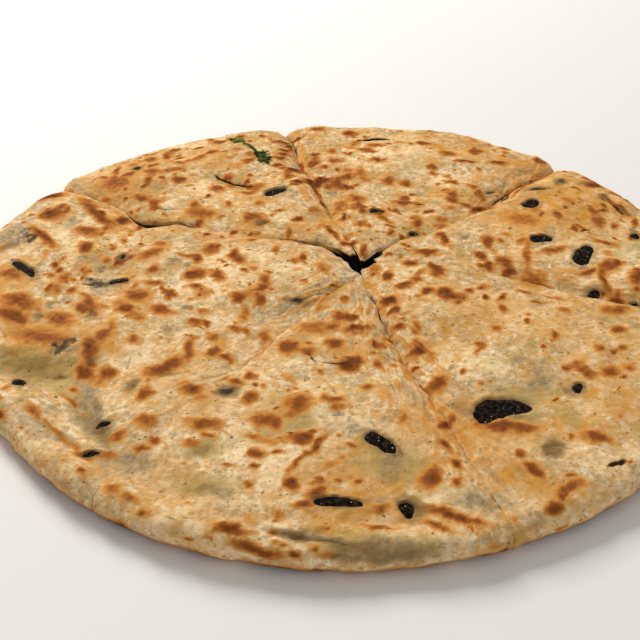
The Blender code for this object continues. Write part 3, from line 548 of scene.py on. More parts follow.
def add_strip(mesh, lower, upper):
    """Faces between two rows, where one may have several corners to each of the other's."""
    steps = min(len(lower), len(upper)) - 1
    low_step, high_step = (len(lower) - 1) // steps, (len(upper) - 1) // steps
    for index in range(steps):
        below = lower[index * low_step:(index + 1) * low_step + 1]
        above = upper[index * high_step:(index + 1) * high_step + 1]
        mesh.faces.new(below + above[::-1])


def rim_curve():
    """The rim's section as a smooth curve through the profile's points."""
    points = np.array(((RIM_DOUGH, 0.0),) + RIM_PROFILE + ((RIM_DOUGH, 1.0),))
    run = np.concatenate(((0,), np.cumsum(np.hypot(*(np.diff(points, axis=0) * (1, THICKNESS)).T))))
    slope = np.gradient(points, run, axis=0)
    curve = []
    for at in np.linspace(0, run[-1], RIM_POINTS + 2)[1:-1]:
        k = min(int(np.searchsorted(run, at, side="right")) - 1, len(run) - 2)
        span = run[k + 1] - run[k]
        t = (at - run[k]) / span
        curve.append((2 * t ** 3 - 3 * t ** 2 + 1) * points[k] + (t ** 3 - 2 * t ** 2 + t) * span * slope[k]
                     + (3 * t ** 2 - 2 * t ** 3) * points[k + 1] + (t ** 3 - t ** 2) * span * slope[k + 1])
    return [(inward, min(max(up, 0.0), 1.0)) for inward, up in curve]


def stations(rows):
    """Distances outward to where the skins meet, as parts of the way to the rim."""
    return np.linspace(0, 1 - RIM_DOUGH / RADIUS, rows + 1)


def dough_section():
    """The section of a wedge: base, floor and ceiling of the hollow, crust, and the rim round them."""
    mesh = bmesh.new()
    floor_up, ceiling_up = BOTTOM_SKIN / THICKNESS, 1 - TOP_SKIN / THICKNESS
    bottom = add_row(mesh, stations(BASE_ROWS), 0.0)
    floor = add_row(mesh, stations(INNER_ROWS), floor_up)
    ceiling = add_row(mesh, stations(INNER_ROWS), ceiling_up)
    in_skin = [add_row(mesh, stations(TOP_ROWS), ceiling_up + (1 - ceiling_up) * part)
               for part in (0.35, 0.7)]
    top = add_row(mesh, stations(TOP_ROWS), 1.0)
    add_strip(mesh, bottom, floor)
    add_strip(mesh, ceiling, in_skin[0])
    add_strip(mesh, in_skin[0], in_skin[1])
    add_strip(mesh, in_skin[1], top)
    rim = [mesh.verts.new((2 - inward / RADIUS, 0, up)) for inward, up in rim_curve()]
    mesh.faces.new([bottom[-1]] + rim + [top[-1], in_skin[1][-1], in_skin[0][-1], ceiling[-1], floor[-1]])
    return mesh


def spun(section, name, spacing):
    """A section spun through one radian: a point's bearing is its part of the way across a wedge."""
    first = CUTS[WEDGES.index(name)].bearing
    second = CUTS[(WEDGES.index(name) + 1) % len(CUTS)].bearing
    rim_length = math.radians((second - first) % 360) * RADIUS
    bmesh.ops.spin(section, geom=section.verts[:] + section.edges[:] + section.faces[:], angle=1.0,
                   steps=round(rim_length / spacing), axis=(0, 0, 1), cent=(0, 0, 0), use_duplicate=False)
    bmesh.ops.recalc_face_normals(section, faces=section.faces)
    data = bpy.data.meshes.new(name)
    section.to_mesh(data)
    section.free()
    corners = np.zeros(len(data.vertices) * 3, np.float32)
    data.vertices.foreach_get("co", corners)
    corners = corners.reshape(-1, 3).astype(float)
    across = np.arctan2(corners[:, 1], corners[:, 0])
    out = np.hypot(corners[:, 0], corners[:, 1]) - 1
    return data, across, out, corners[:, 2]


def finished(mesh, name):
    """The mesh that a bmesh has become."""
    data = bpy.data.meshes.new(name)
    mesh.to_mesh(data)
    mesh.free()
    return data


def set_points(data, points):
    """Puts a mesh's corners at points given in millimetres."""
    data.vertices.foreach_set("co", (points * MM).astype(np.float32).ravel())
    data.update()


def add_object(name, data, material, sharp=50):
    """An object that rides with the bread, from a mesh in its place."""
    data.name = name
    data.shade_smooth()
    data.set_sharp_from_angle(angle=math.radians(sharp))
    data.materials.append(material)
    made = bpy.data.objects.new(name, data)
    bpy.context.scene.collection.objects.link(made)
    return made


def wrinkles(points, distance, from_cut, side):
    """Folds beside a cut where the crust sinks to it, slanting away from it like drawn cloth."""
    depth = 0.35 + read_pairs(side.fall, distance)
    near = np.clip(1 - from_cut / (1.5 * side.width), 0, 1)
    near = near * np.clip(distance / 25 - 0.2, 0, 1)
    skew = np.column_stack((from_cut / 2.2 - distance / 8, from_cut / 10 + distance / 15, points[:, 2] * 0))
    return 0.16 * depth * near * (1 - 0.4 * near) * lumps(skew, 1, 2, side.width)


def crust_lumps(points):
    """The uneven swelling of the crust as it puffed in the pan."""
    return 0.55 * lumps(points, 17, 1, 5) + 0.32 * lumps(points, 7.5, 2, 6) + 0.14 * lumps(points, 2.6, 2, 7)


def torn_slits(points):
    """How deep the slits are at each point, and how far the lip along one side of each is raised."""
    slits, lips = np.zeros((2, len(points)))
    for x, y, half_length, half_width, bearing, curl, depth in SLITS:
        turn = math.radians(bearing)
        dx, dy = points[:, 0] - x, points[:, 1] - y
        lengthwise = (dx * math.cos(turn) + dy * math.sin(turn)) / half_length
        sideways = dy * math.cos(turn) - dx * math.sin(turn) + curl * lengthwise ** 2
        part = lengthwise ** 2 + (sideways / half_width) ** 2
        slits = np.maximum(slits, np.exp(-part ** 2) * depth)
        lips += 0.35 * depth * np.exp(-lengthwise ** 4 - ((sideways / half_width + 1.7) / 0.7) ** 2)
    return slits, lips


def dough_piece(name):
    """One wedge's mesh, with its relief, and its marks as attributes for the material."""
    first = CUTS[WEDGES.index(name)]
    second = CUTS[(WEDGES.index(name) + 1) % len(CUTS)]
    data, across, out, up = spun(dough_section(), name, COLUMN_SPACING)
    points, bearing, distance, from_first, from_second = place(name, across, out, up)
    on_first = across < across.min() + NEXT_TO_NOTHING
    on_second = across > across.max() - NEXT_TO_NOTHING
    on_cut = on_first | on_second
    rim = out > 1 - RIM_DOUGH / RADIUS + NEXT_TO_NOTHING
    base = up < NEXT_TO_NOTHING
    skin = ((up > 0.999) | rim) & ~base

    tilt = np.arcsin(np.clip((up - 0.45) / np.where(up > 0.45, 0.55, 0.45), -1, 1))
    outward = np.column_stack((np.cos(bearing) * np.cos(tilt), np.sin(bearing) * np.cos(tilt), np.sin(tilt)))
    from_cut = np.minimum(from_first, from_second)
    upright = np.clip(1 - from_cut / 3, 0, 1)[:, None]
    outward = outward * (1 - upright) + np.array((0, 0, 1)) * upright * up[:, None]

    here = points[skin]
    # Marks lie over the rim as if it were rolled out flat.
    rolled_out = np.column_stack((np.cos(bearing), np.sin(bearing), 0 * up)) * ((1 - up) * THICKNESS)[:, None]
    ragged = jitter(jitter(here + rolled_out[skin], 5, 1.0, 20), 1.8, 0.42, 30)
    toast = 1.2 * inside(ragged, crust_blisters)
    golden = inside(ragged, crust_golden, 1.2)
    grey = inside(ragged, crust_grey)
    olive = inside(ragged, crust_olive, 1.2)
    torn = jitter(here, 3.2, 0.6, 40)
    wavy = jitter(here, 4, 0.6, 45)
    slits, lips = torn_slits(wavy)

    stained = [(x, y, half_length + STAIN, half_width + STAIN, turn, 1.0)
               for x, y, half_length, half_width, turn, _ in MUSHROOMS + SCRAPS]
    folds = wrinkles(here, distance[skin], from_first[skin], first.after)
    folds += wrinkles(here, distance[skin], from_second[skin], second.before)
    near_rim = np.clip((out[skin] - 0.84) / 0.1, 0, 1)
    rise = crust_lumps(here) + near_rim * (0.42 * lumps(here, 11, 2, 8) - 0.25)
    rise += 0.20 * toast - 0.22 * grey * (0.6 + lumps(here, 1.7, 2, 9)) - 0.18 * olive + folds
    ragged_edge = np.clip(0.75 + 0.9 * lumps(here, 5, 2, 10), 0.15, 1.6)
    edge = np.maximum(parted(first, distance[skin]) * np.exp(-(from_first[skin] / EDGE_WIDTH) ** 2),
                      parted(second, distance[skin]) * np.exp(-(from_second[skin] / EDGE_WIDTH) ** 2))
    rise -= EDGE_ROUND * ragged_edge * edge
    rise += lips - slits
    rise += sockets(torn, MUSHROOMS, STRIP_DEPTH) + sockets(torn, SCRAPS, SCRAP_DEPTH)
    points[skin] += outward[skin] * rise[:, None]
    # The lowest part of the rim lay on the pan and browned.
    low = 1.2 * np.clip((0.46 - up[skin]) / 0.24, 0, 1)
    foot = low * np.clip(0.75 + 0.9 * lumps(here, 15, 2, 13), 0, 1.1)

    under = points[base]
    points[base, 2] += 0.15 + 0.15 * np.clip(lumps(under, 7, 2, 11), -1, 1)
    wall = on_cut & ~skin & ~base
    inward = np.where(on_first, 1.0, -1.0)
    rough = 0.12 * (1 + lumps(points[wall], 1.8, 2, 12))
    points[wall, 0] -= np.sin(bearing[wall]) * inward[wall] * rough
    points[wall, 1] += np.cos(bearing[wall]) * inward[wall] * rough
    points[:, 2] = np.maximum(points[:, 2], 0.0)
    set_points(data, points)

    marks = {
        "toast": toast + foot + 0.35 * np.clip(folds / FOLD_SHADE, 0, 1),
        "golden": golden,
        "grey": grey,
        "olive": olive,
        "slit": slits,
        "stain": np.maximum(inside(torn, stained, 0.8), inside(ragged, SMUDGES, 1.1)),
        "crease_shade": np.clip(-folds / FOLD_SHADE, 0, 1) + 0.8 * edge,
        "wet": inside(ragged, WET, 1.1),
        "crumb": 0,
    }
    inner = ~skin & ~base
    for key, values in marks.items():
        whole = np.zeros(len(points))
        whole[skin] = values
        if key == "toast":
            whole[base] = inside(jitter(under, 4, 1.2, 50), base_blisters)
        if key == "crumb":
            # Near the tips the crumb colour runs higher up the cut walls, so that the painted shade of the
            # hub covers them.
            from_up = np.where(distance[inner] < CRUMB_NEAR_TIP, 0.94, 0.8)
            whole[inner] = 1 - np.clip((up[inner] - from_up) / (1 - from_up), 0, 1)
        data.attributes.new(key, "FLOAT", "POINT").data.foreach_set("value", whole.astype(np.float32))
    return data


def linear(hex_colour):
    """A colour written as sRGB hex, made linear for a shader."""
    parts = [int(hex_colour[start:start + 2], 16) / 255 for start in (1, 3, 5)]
    return tuple(part / 12.92 if part <= 0.04045 else ((part + 0.055) / 1.055) ** 2.4
                 for part in parts) + (1.0,)


def new_material(name):
    """A material with its Principled shader, and its node tree."""
    made = bpy.data.materials.new(name)
    made.use_nodes = True
    return made, made.node_tree, made.node_tree.nodes["Principled BSDF"]


def node(tree, kind, inputs=(), **settings):
    """A node with its settings, and its inputs by index or name: a value, or a socket to link."""
    made = tree.nodes.new("ShaderNode" + kind)
    for key, value in settings.items():
        setattr(made, key, value)
    for key, value in dict(inputs).items():
        if isinstance(value, bpy.types.NodeSocket):
            tree.links.new(value, made.inputs[key])
        else:
            made.inputs[key].default_value = value
    return made


def blend(tree, factor, below, above):
    """One colour laid over another by a factor."""
    return node(tree, "Mix", {0: factor, 6: below, 7: above}, data_type="RGBA").outputs[2]


def ramp(tree, value, low, high, to_low=0.0, to_high=1.0):
    """A value read from low to high, smoothly, as a number."""
    return node(tree, "MapRange", {0: value, 1: low, 2: high, 3: to_low, 4: to_high},
                interpolation_type="SMOOTHSTEP").outputs[0]


def times(tree, value, factor):
    """One value by another."""
    return node(tree, "Math", {0: value, 1: factor}, operation="MULTIPLY").outputs[0]


def in_millimetres(tree):
    """Object coordinates in millimetres, so that a pattern's scale is a real size."""
    return node(tree, "VectorMath", {0: node(tree, "TexCoord").outputs["Object"], 3: 1 / MM},
                operation="SCALE").outputs[0]


def hub_shade(tree, place_mm):
    """How much painted shade falls in the depths where the six cuts meet: 1 there, 0 away from there."""
    middle = (HUB[0], HUB[1], THICKNESS / 3)
    away = node(tree, "VectorMath", {0: place_mm, 1: middle}, operation="DISTANCE").outputs["Value"]
    return ramp(tree, away, 9.0, 16.0, 1.0, 0.0)


def fried_dough():
    """Wheat dough fried in a pan with a little oil: cream to tan where it is thick, grey-green
    where the skin is thin over the filling, golden where oil was taken up. Blisters go from orange
    halos to brown cores, and fine bran and pepper speckle the whole. Painted shade darkens the creases,
    the cut grooves and the walls at the hub, and in part the slits; painted glints stand for oil
    beads and light on wet shreds. Matte, with a trace of oil."""
    made, tree, shader = new_material("fried_wheat_dough")
    place_mm = in_millimetres(tree)

    def grain(size_mm, detail=3.0, seed=0.0, low=None, high=None, amount=1.0, vector=place_mm):
        """Noise of a grain size in millimetres, itself or read from low to high."""
        inputs = {"Vector": vector, "W": seed, "Scale": 1 / size_mm, "Detail": detail}
        noise_value = node(tree, "TexNoise", inputs, noise_dimensions="4D").outputs["Fac"]
        return noise_value if low is None else ramp(tree, noise_value, low, high, 0.0, amount)

    def layer(key):
        """A mark of the mesh, by its attribute."""
        return node(tree, "Attribute", attribute_name=key).outputs["Fac"]

    def plus(value, other):
        """One value and another."""
        return node(tree, "Math", {0: value, 1: other}, operation="ADD").outputs[0]

    # The skin's grain runs in drawn, turning lines, as the dough was rolled and folded.
    flow = node(tree, "TexNoise", {"Vector": place_mm, "Scale": 1 / 26, "Detail": 1.0}).outputs["Color"]
    flow = node(tree, "VectorMath", {0: flow, 1: (0.5, 0.5, 0.5)}, operation="SUBTRACT").outputs[0]
    turned = node(tree, "VectorMath", {0: flow, 1: (34.0, 34.0, 0.0), 2: place_mm},
                  operation="MULTIPLY_ADD").outputs[0]
    drawn_out = node(tree, "Mapping", {"Vector": turned, "Rotation": (0, 0, 0.5),
                                       "Scale": (0.5, 1, 1)}).outputs[0]

    colour = blend(tree, grain(16, 3.0, 1, 0.38, 0.62), linear("#F8D8A6"), linear("#E6B97A"))
    colour = blend(tree, grain(5, 2.5, 2, 0.38, 0.76, 0.8), colour, linear("#D0984F"))
    colour = blend(tree, grain(7, 3.0, 19, 0.50, 0.70, 0.8), colour, linear("#FFE7BC"))
    thin = plus(grain(13, 2.0, 3, 0.38, 0.62, 0.8), grain(2.6, 4.0, 4, 0.35, 0.65, 0.8))
    colour = blend(tree, ramp(tree, thin, 0.80, 1.40, 0.0, 0.7), colour, linear("#BCA57E"))
    colour = blend(tree, grain(1.9, 4.0, 5, 0.46, 0.68, 0.75), colour, linear("#FFE9C0"))
    flecks = times(tree, grain(1.5, 5.0, 15, 0.52, 0.68, 0.8), ramp(tree, thin, 0.4, 1.2, 0.25, 1.0))
    colour = blend(tree, flecks, colour, linear("#A08A5E"))
    colour = blend(tree, grain(1.2, 4.0, 6, 0.54, 0.70, 0.7, drawn_out), colour, linear("#9A7442"))
    oily = ramp(tree, grain(4, 3.0, 7), 0.30, 0.62, 0.5, 1.0)
    colour = blend(tree, times(tree, layer("golden"), oily), colour, linear("#CC8C2A"))
    olive = plus(layer("olive"), grain(3, 3.0, 8, 0.3, 0.65, 0.25))
    colour = blend(tree, ramp(tree, olive, 0.25, 1.1, 0.0, 0.78), colour, linear("#AE9455"))
    grey = plus(layer("grey"), grain(2, 4.0, 9, 0.3, 0.7, 0.4))
    grey_tone = blend(tree, grain(1.4, 4.0, 10, 0.3, 0.7), linear("#7C6E54"), linear("#AD9A78"))
    colour = blend(tree, ramp(tree, grey, 0.35, 1.3, 0.0, 0.85), colour, grey_tone)
    # Painted shade: darker in the valleys of the folds and along the grooves of the cuts.
    colour = blend(tree, times(tree, layer("crease_shade"), 0.5), colour, linear("#86683A"))

    # Specks of bran and pepper, uneven in form, thicker where the skin is thin.
    strayed = node(tree, "TexNoise", {"Vector": place_mm, "Scale": 1 / 0.9, "Detail": 2.0}).outputs["Color"]
    strayed = node(tree, "VectorMath", {0: strayed, 1: (1.5, 1.5, 1.5), 2: place_mm},
                   operation="MULTIPLY_ADD").outputs[0]
    cells = node(tree, "TexVoronoi", {"Vector": strayed, "Scale": 1 / 1.5, "Randomness": 1.0})
    pick = node(tree, "SeparateColor", {0: cells.outputs["Color"]})
    few = ramp(tree, plus(pick.outputs[0], times(tree, thin, 0.12)), 0.84, 0.94)
    reach_in = ramp(tree, pick.outputs[1], 0.0, 1.0, 0.14, 0.40)
    within = node(tree, "Math", {0: cells.outputs["Distance"], 1: reach_in}, operation="DIVIDE").outputs[0]
    speck = times(tree, ramp(tree, within, 0.3, 1.0, 0.9, 0.0), few)
    colour = blend(tree, speck, colour, linear("#5E4A2B"))

    # Painted glints: pale specks in the colour stand for beads of oil that catch the light.
    painted_oil_glint = times(tree, ramp(tree, within, 0.2, 0.8, 0.5, 0.0), ramp(tree, pick.outputs[2], 0.92, 0.97))
    colour = blend(tree, painted_oil_glint, colour, linear("#FFEFD2"))

    toast = plus(layer("toast"), grain(1.7, 4.0, 11, 0.3, 0.7, 0.28))
    colour = blend(tree, ramp(tree, toast, 0.12, 0.42, 0.0, 0.85), colour, linear("#D79A4E"))
    colour = blend(tree, ramp(tree, toast, 0.32, 0.80, 0.0, 0.95), colour, linear("#BE7632"))
    colour = blend(tree, ramp(tree, toast, 0.64, 1.14, 0.0, 0.95), colour, linear("#884A20"))
    colour = blend(tree, ramp(tree, toast, 1.10, 1.44), colour, linear("#613416"))

    shreds = grain(0.9, 4.0, 16, 0.42, 0.58)
    wet = ramp(tree, plus(layer("wet"), grain(2.2, 4.0, 17, 0.3, 0.7, 0.4)), 0.72, 1.15)
    bare = blend(tree, shreds, linear("#1E150C"), linear("#58462E"))
    colour = blend(tree, times(tree, wet, 0.9), colour, bare)
    # Painted glints: pale dots on bare wet shreds stand for light caught on moisture.
    painted_wet_glint = times(tree, ramp(tree, within, 0.2, 0.85, 0.75, 0.0), ramp(tree, pick.outputs[2], 0.50, 0.60))
    colour = blend(tree, times(tree, painted_wet_glint, ramp(tree, layer("wet"), 0.15, 0.4)), colour, linear("#F4E6CE"))
    colour = blend(tree, ramp(tree, layer("stain"), 0.0, 0.7, 0.0, 0.75), colour, linear("#86683A"))
    colour = blend(tree, ramp(tree, layer("stain"), 0.72, 1.0), colour, linear("#2E251A"))
    # The slits go near black with depth: partly the dark filling seen through them, partly painted shade deep
    # in them.
    colour = blend(tree, ramp(tree, layer("slit"), 0.10, 0.5), colour, linear("#2B200E"))
    crumb = blend(tree, grain(1.4, 3.0, 12, 0.35, 0.65), linear("#9A7C4C"), linear("#C9A878"))
    # Painted shade: the cut walls go near black deep in the hole where the six cuts meet.
    crumb = blend(tree, hub_shade(tree, place_mm), crumb, linear("#1C140B"))
    colour = blend(tree, layer("crumb"), colour, crumb)
    tree.links.new(colour, shader.inputs["Base Color"])

    # Matte; only bare wet shreds and, a little, oily places shine.
    moist_grey = times(tree, ramp(tree, grey, 0.5, 1.0), 0.35)
    moist = node(tree, "Math", {0: moist_grey, 1: times(tree, layer("golden"), 0.35)},
                 operation="MAXIMUM").outputs[0]
    glint = times(tree, wet, grain(0.8, 2.0, 20, 0.60, 0.66))
    moist = node(tree, "Math", {0: moist, 1: glint}, operation="MAXIMUM").outputs[0]
    gloss = node(tree, "Mix", {0: moist, 2: 0.60, 3: grain(0.8, 2.0, 18, 0.45, 0.65, 0.4)}, data_type="FLOAT")
    tree.links.new(plus(gloss.outputs[0], 0.30), shader.inputs["Roughness"])
    shader.inputs["IOR"].default_value = 1.46
    tree.links.new(ramp(tree, moist, 0.1, 0.9, 0.06, 0.14), shader.inputs["Specular IOR Level"])

    puffs = node(tree, "TexVoronoi", {"Vector": place_mm, "Scale": 1 / 2.3, "Randomness": 1.0,
                                      "Smoothness": 0.6}, feature="SMOOTH_F1").outputs["Distance"]
    puffed = node(tree, "Bump", {"Strength": 0.45, "Distance": 0.0004, "Height": puffs}, invert=True)
    coarse = node(tree, "Bump", {"Strength": 0.7, "Distance": 0.00045, "Height": grain(1.7, 4.0, 13),
                                 "Normal": puffed.outputs[0]})
    fine = node(tree, "Bump", {"Strength": 0.6, "Distance": 0.00014, "Height": grain(0.5, 2.0, 14),
                               "Normal": coarse.outputs[0]})
    tree.links.new(fine.outputs[0], shader.inputs["Normal"])
    return made


dough_material = fried_dough()
for name in WEDGES:
    wedge = add_object("crust_" + name, dough_piece(name), dough_material)
    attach(wedge, "root")
    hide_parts("dough_" + name)

# ---------------------------------------------------------------------------------------------
# The filling: a cooked mash with mushroom and greens, a soft slab between the skins that shows
# where the cuts stand open. Its cut sides are crumbly.
# ---------------------------------------------------------------------------------------------
FILLING_ROWS = 60
FILLING_SIDE_ROWS = 7
FILLING_SPACING = 2.0
FILLING_SKIN_GAP = 1.2 * CLEARANCE
FILLING_SIDE_GAP = 1.5 * CLEARANCE
FILLING_RIM_GAP = 2.0 * CLEARANCE


def filling_piece(name):
    """The filling of one wedge: a slab a little clear of the dough, with crumbly cut sides."""
    mesh = bmesh.new()
    outs = stations(FILLING_ROWS)
    outs[-1] -= FILLING_RIM_GAP / RADIUS
    ups = np.linspace(BOTTOM_SKIN / THICKNESS, 1 - TOP_SKIN / THICKNESS, FILLING_SIDE_ROWS)
    rows = [add_row(mesh, outs, up) for up in ups]
    for lower, upper in zip(rows, rows[1:]):
        add_strip(mesh, lower, upper)
    data, across, out, up = spun(mesh, name, FILLING_SPACING)
    points, bearing, *_ = place(name, across, out, up)
    height = (up - ups[0]) / (ups[-1] - ups[0])
    points[:, 2] += FILLING_SKIN_GAP * (1 - 2 * height)
    side = (across < across.min() + NEXT_TO_NOTHING).astype(float) - (across > across.max() - NEXT_TO_NOTHING)
    rough = FILLING_SIDE_GAP + 0.25 * (1 + lumps(points, 2.2, 3, 5.5))
    points[:, 0] -= np.sin(bearing) * side * rough
    points[:, 1] += np.cos(bearing) * side * rough
    set_points(data, points)
    return data


def cooked_filling():
    """Moist mash: olive-brown, with near-black mushroom and dark green leaf through it, and painted shade,
    near black, in the hole at the hub.
    """
    made, tree, shader = new_material("mushroom_and_greens_filling")
    place_mm = in_millimetres(tree)
    mash = node(tree, "TexNoise", {"Vector": place_mm, "Scale": 1 / 2.5, "Detail": 4.0}).outputs["Fac"]
    cells = node(tree, "TexVoronoi", {"Vector": place_mm, "Scale": 1 / 2.4})
    kind = node(tree, "SeparateColor", {0: cells.outputs["Color"]})
    colour = blend(tree, ramp(tree, mash, 0.35, 0.65), linear("#3B2E1A"), linear("#6A5630"))
    colour = blend(tree, ramp(tree, kind.outputs[0], 0.68, 0.74), colour, linear("#1C150D"))
    colour = blend(tree, ramp(tree, kind.outputs[1], 0.78, 0.82), colour, linear("#3A3A1C"))
    # Painted shade: the mash goes near black deep in the hole where the six cuts meet.
    colour = blend(tree, hub_shade(tree, place_mm), colour, linear("#120D07"))
    tree.links.new(colour, shader.inputs["Base Color"])
    shader.inputs["Roughness"].default_value = 0.7
    shader.inputs["Specular IOR Level"].default_value = 0.15
    bump = node(tree, "Bump", {"Strength": 0.7, "Distance": 0.0004, "Height": mash})
    tree.links.new(bump.outputs[0], shader.inputs["Normal"])
    return made


filling_material = cooked_filling()
for name in WEDGES:
    slab = add_object("mash_" + name, filling_piece(name), filling_material)
    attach(slab, "root")
    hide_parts("filling_" + name)

# ---------------------------------------------------------------------------------------------
# Mushroom: strips and scraps of cooked black mushroom, shrunken, crumpled and wet. They lie under
# torn openings of the skin, whose ragged lips cover their edges.
# ---------------------------------------------------------------------------------------------
UNDER_LIP = 1.2
CRUMPLE = 0.30
# How far they stand over the crust, and those that lie deeper in their openings, by number.
STRIP_PROUD = 0.15
SCRAP_PROUD = -0.1
RECESSED = {8: -0.45, 1: -0.05, 9: -0.2, 4: -0.3}
# How finely their meshes are divided, and the first scrap's seed.
STRIP_FINENESS = 36
SCRAP_FINENESS = 18
SCRAP_SEED = 20


def crust_over(x, y, spot):
    """Height of the crust, with its lumps, over points of the wedge that holds a spot."""
    reach_out = np.hypot(x - HUB[0], y - HUB[1])
    turn = np.degrees(np.arctan2(y - HUB[1], x - HUB[0]))
    spot_turn = math.degrees(math.atan2(spot[1] - HUB[1], spot[0] - HUB[0]))
    index = max(range(len(CUTS)), key=lambda k: -((spot_turn - CUTS[k].bearing) % 360))
    first, second = CUTS[index], CUTS[(index + 1) % len(CUTS)]
    after_first = (turn - first.bearing + 90) % 360 - 90
    before_second = (second.bearing - turn + 90) % 360 - 90
    from_first = reach_out * np.radians(after_first) - read_pairs(first.bend, reach_out)
    from_second = reach_out * np.radians(before_second) + read_pairs(second.bend, reach_out)
    height = crust_height(x, y) - sunk(first.after, reach_out, from_first)
    height -= sunk(second.before, reach_out, from_second)
    return height + crust_lumps(np.column_stack((x, y, height)))


def mushroom_mesh(mesh, strip, proud, depth, fineness, seed):
    """Adds one strip: a ball drawn out, blunt at its ends, bent, crumpled and laid in its socket."""
    x, y, half_length, half_width, bearing, curl = strip
    made = bmesh.ops.create_uvsphere(mesh, u_segments=2 * fineness, v_segments=fineness, radius=1.0)
    at = np.array([corner.co for corner in made["verts"]])
    jag = UNDER_LIP * (1 + 0.12 * lumps(at, 0.8, 2, seed))
    lengthwise = at[:, 0] * half_length * jag
    to_end = np.abs(at[:, 0])
    blunt = np.sqrt((1 + to_end + to_end ** 2) / (1 + to_end))
    sideways = at[:, 1] * half_width * (1 - 0.25 * at[:, 0]) * blunt * jag - curl * at[:, 0] ** 2
    turn = math.radians(bearing)
    px = x + lengthwise * math.cos(turn) - sideways * math.sin(turn)
    py = y + lengthwise * math.sin(turn) + sideways * math.cos(turn)
    folded = np.column_stack((lengthwise / 2.6, sideways / 1.6, 0 * px))
    crumpled = lumps(folded, 1, 3, seed + 1) - 1.0 * np.abs(lumps(folded, 1.4, 2, seed + 2))
    flat = np.sign(at[:, 2]) * np.abs(at[:, 2]) ** 0.6
    rise = (proud - depth) / 2 + (proud + depth) / 2 * flat
    rise = rise + CRUMPLE * crumpled * np.clip(at[:, 2] - 0.35, 0, 1) ** 0.7
    for corner, place_now in zip(made["verts"], np.column_stack((px, py, crust_over(px, py, (x, y)) + rise))):
        corner.co = place_now * MM


def wet_mushroom():
    """Cooked black mushroom: near black, brown-grey on its folds, with wet granules that glint: painted pale
    in the colour, and glossier.
    """
    made, tree, shader = new_material("cooked_black_mushroom")
    place_mm = in_millimetres(tree)
    streak = node(tree, "TexNoise", {"Vector": place_mm, "Scale": 1 / 1.3, "Detail": 4.0}).outputs["Fac"]
    cells = node(tree, "TexVoronoi", {"Vector": place_mm, "Scale": 1 / 0.95, "Randomness": 1.0})
    pick = node(tree, "SeparateColor", {0: cells.outputs["Color"]})
    size = ramp(tree, pick.outputs[1], 0.0, 1.0, 0.10, 0.34)
    within = node(tree, "Math", {0: cells.outputs["Distance"], 1: size}, operation="DIVIDE").outputs[0]
    granule_with_painted_glint = times(tree, ramp(tree, within, 0.5, 1.0, 1.0, 0.0), ramp(tree, pick.outputs[0], 0.55, 0.68))
    colour = blend(tree, ramp(tree, streak, 0.42, 0.72), linear("#0B0705"), linear("#3A2C22"))
    # Painted glints: the granules are coloured pale, standing for light caught on wet grains.
    colour = blend(tree, times(tree, granule_with_painted_glint, 0.9), colour, linear("#C4B08C"))
    tree.links.new(colour, shader.inputs["Base Color"])
    tree.links.new(ramp(tree, granule_with_painted_glint, 0.2, 0.8, 0.75, 0.25), shader.inputs["Roughness"])
    tree.links.new(ramp(tree, granule_with_painted_glint, 0.2, 0.8, 0.05, 0.5), shader.inputs["Specular IOR Level"])
    shader.inputs["IOR"].default_value = 1.40
    raised = node(tree, "Math", {0: streak, 1: granule_with_painted_glint}, operation="ADD").outputs[0]
    bump = node(tree, "Bump", {"Strength": 0.8, "Distance": 0.0004, "Height": raised})
    tree.links.new(bump.outputs[0], shader.inputs["Normal"])
    return made


mushroom_material = wet_mushroom()
for number, strip in enumerate(MUSHROOMS, start=1):
    mesh = bmesh.new()
    mushroom_mesh(mesh, strip, RECESSED.get(number, STRIP_PROUD), STRIP_DEPTH, STRIP_FINENESS, number)
    piece = add_object(f"mushroom_strip_{number:02d}", finished(mesh, "strip"), mushroom_material, sharp=180)
    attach(piece, "root")
    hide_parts(f"mushroom_{number:02d}")

mesh = bmesh.new()
for number, strip in enumerate(SCRAPS, start=SCRAP_SEED):
    mushroom_mesh(mesh, strip, SCRAP_PROUD, SCRAP_DEPTH, SCRAP_FINENESS, number)
scraps = add_object("mushroom_scraps", finished(mesh, "scraps"), mushroom_material, sharp=180)
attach(scraps, "root")

# ---------------------------------------------------------------------------------------------
# The herb sprig: a wilted stem of fresh herb that ends in a small lobed leaf, with a paler scrap
# of leaf by its other end, stuck to the crust as it fried.
# ---------------------------------------------------------------------------------------------
SPRIG_START = np.array((-44.5, 102.5))
SPRIG_BEARING = math.radians(-50)
STEM_FROM, STEM_TO = 5.5, 18.0
STEM_WIDTH = 1.0
LEAF_THICKNESS = 0.4
# (along, aside, half length, half width, turn, lobes, lift)
LEAFLETS = (
    (20.0, 0.2, 4.2, 2.4, -10, 5, 0.35), (16.8, 1.6, 2.4, 0.9, 72, 2, 0.5),
    (0.6, 0.4, 3.0, 1.9, 25, 4, 0.2),
)


def on_crust(along, aside, lift):
    """Points by their way along and beside the sprig, lifted over the crust under them."""
    x = SPRIG_START[0] + along * math.cos(SPRIG_BEARING) - aside * math.sin(SPRIG_BEARING)
    y = SPRIG_START[1] + along * math.sin(SPRIG_BEARING) + aside * math.cos(SPRIG_BEARING)
    return np.column_stack((x, y, crust_over(x, y, SPRIG_START) + lift)) * MM


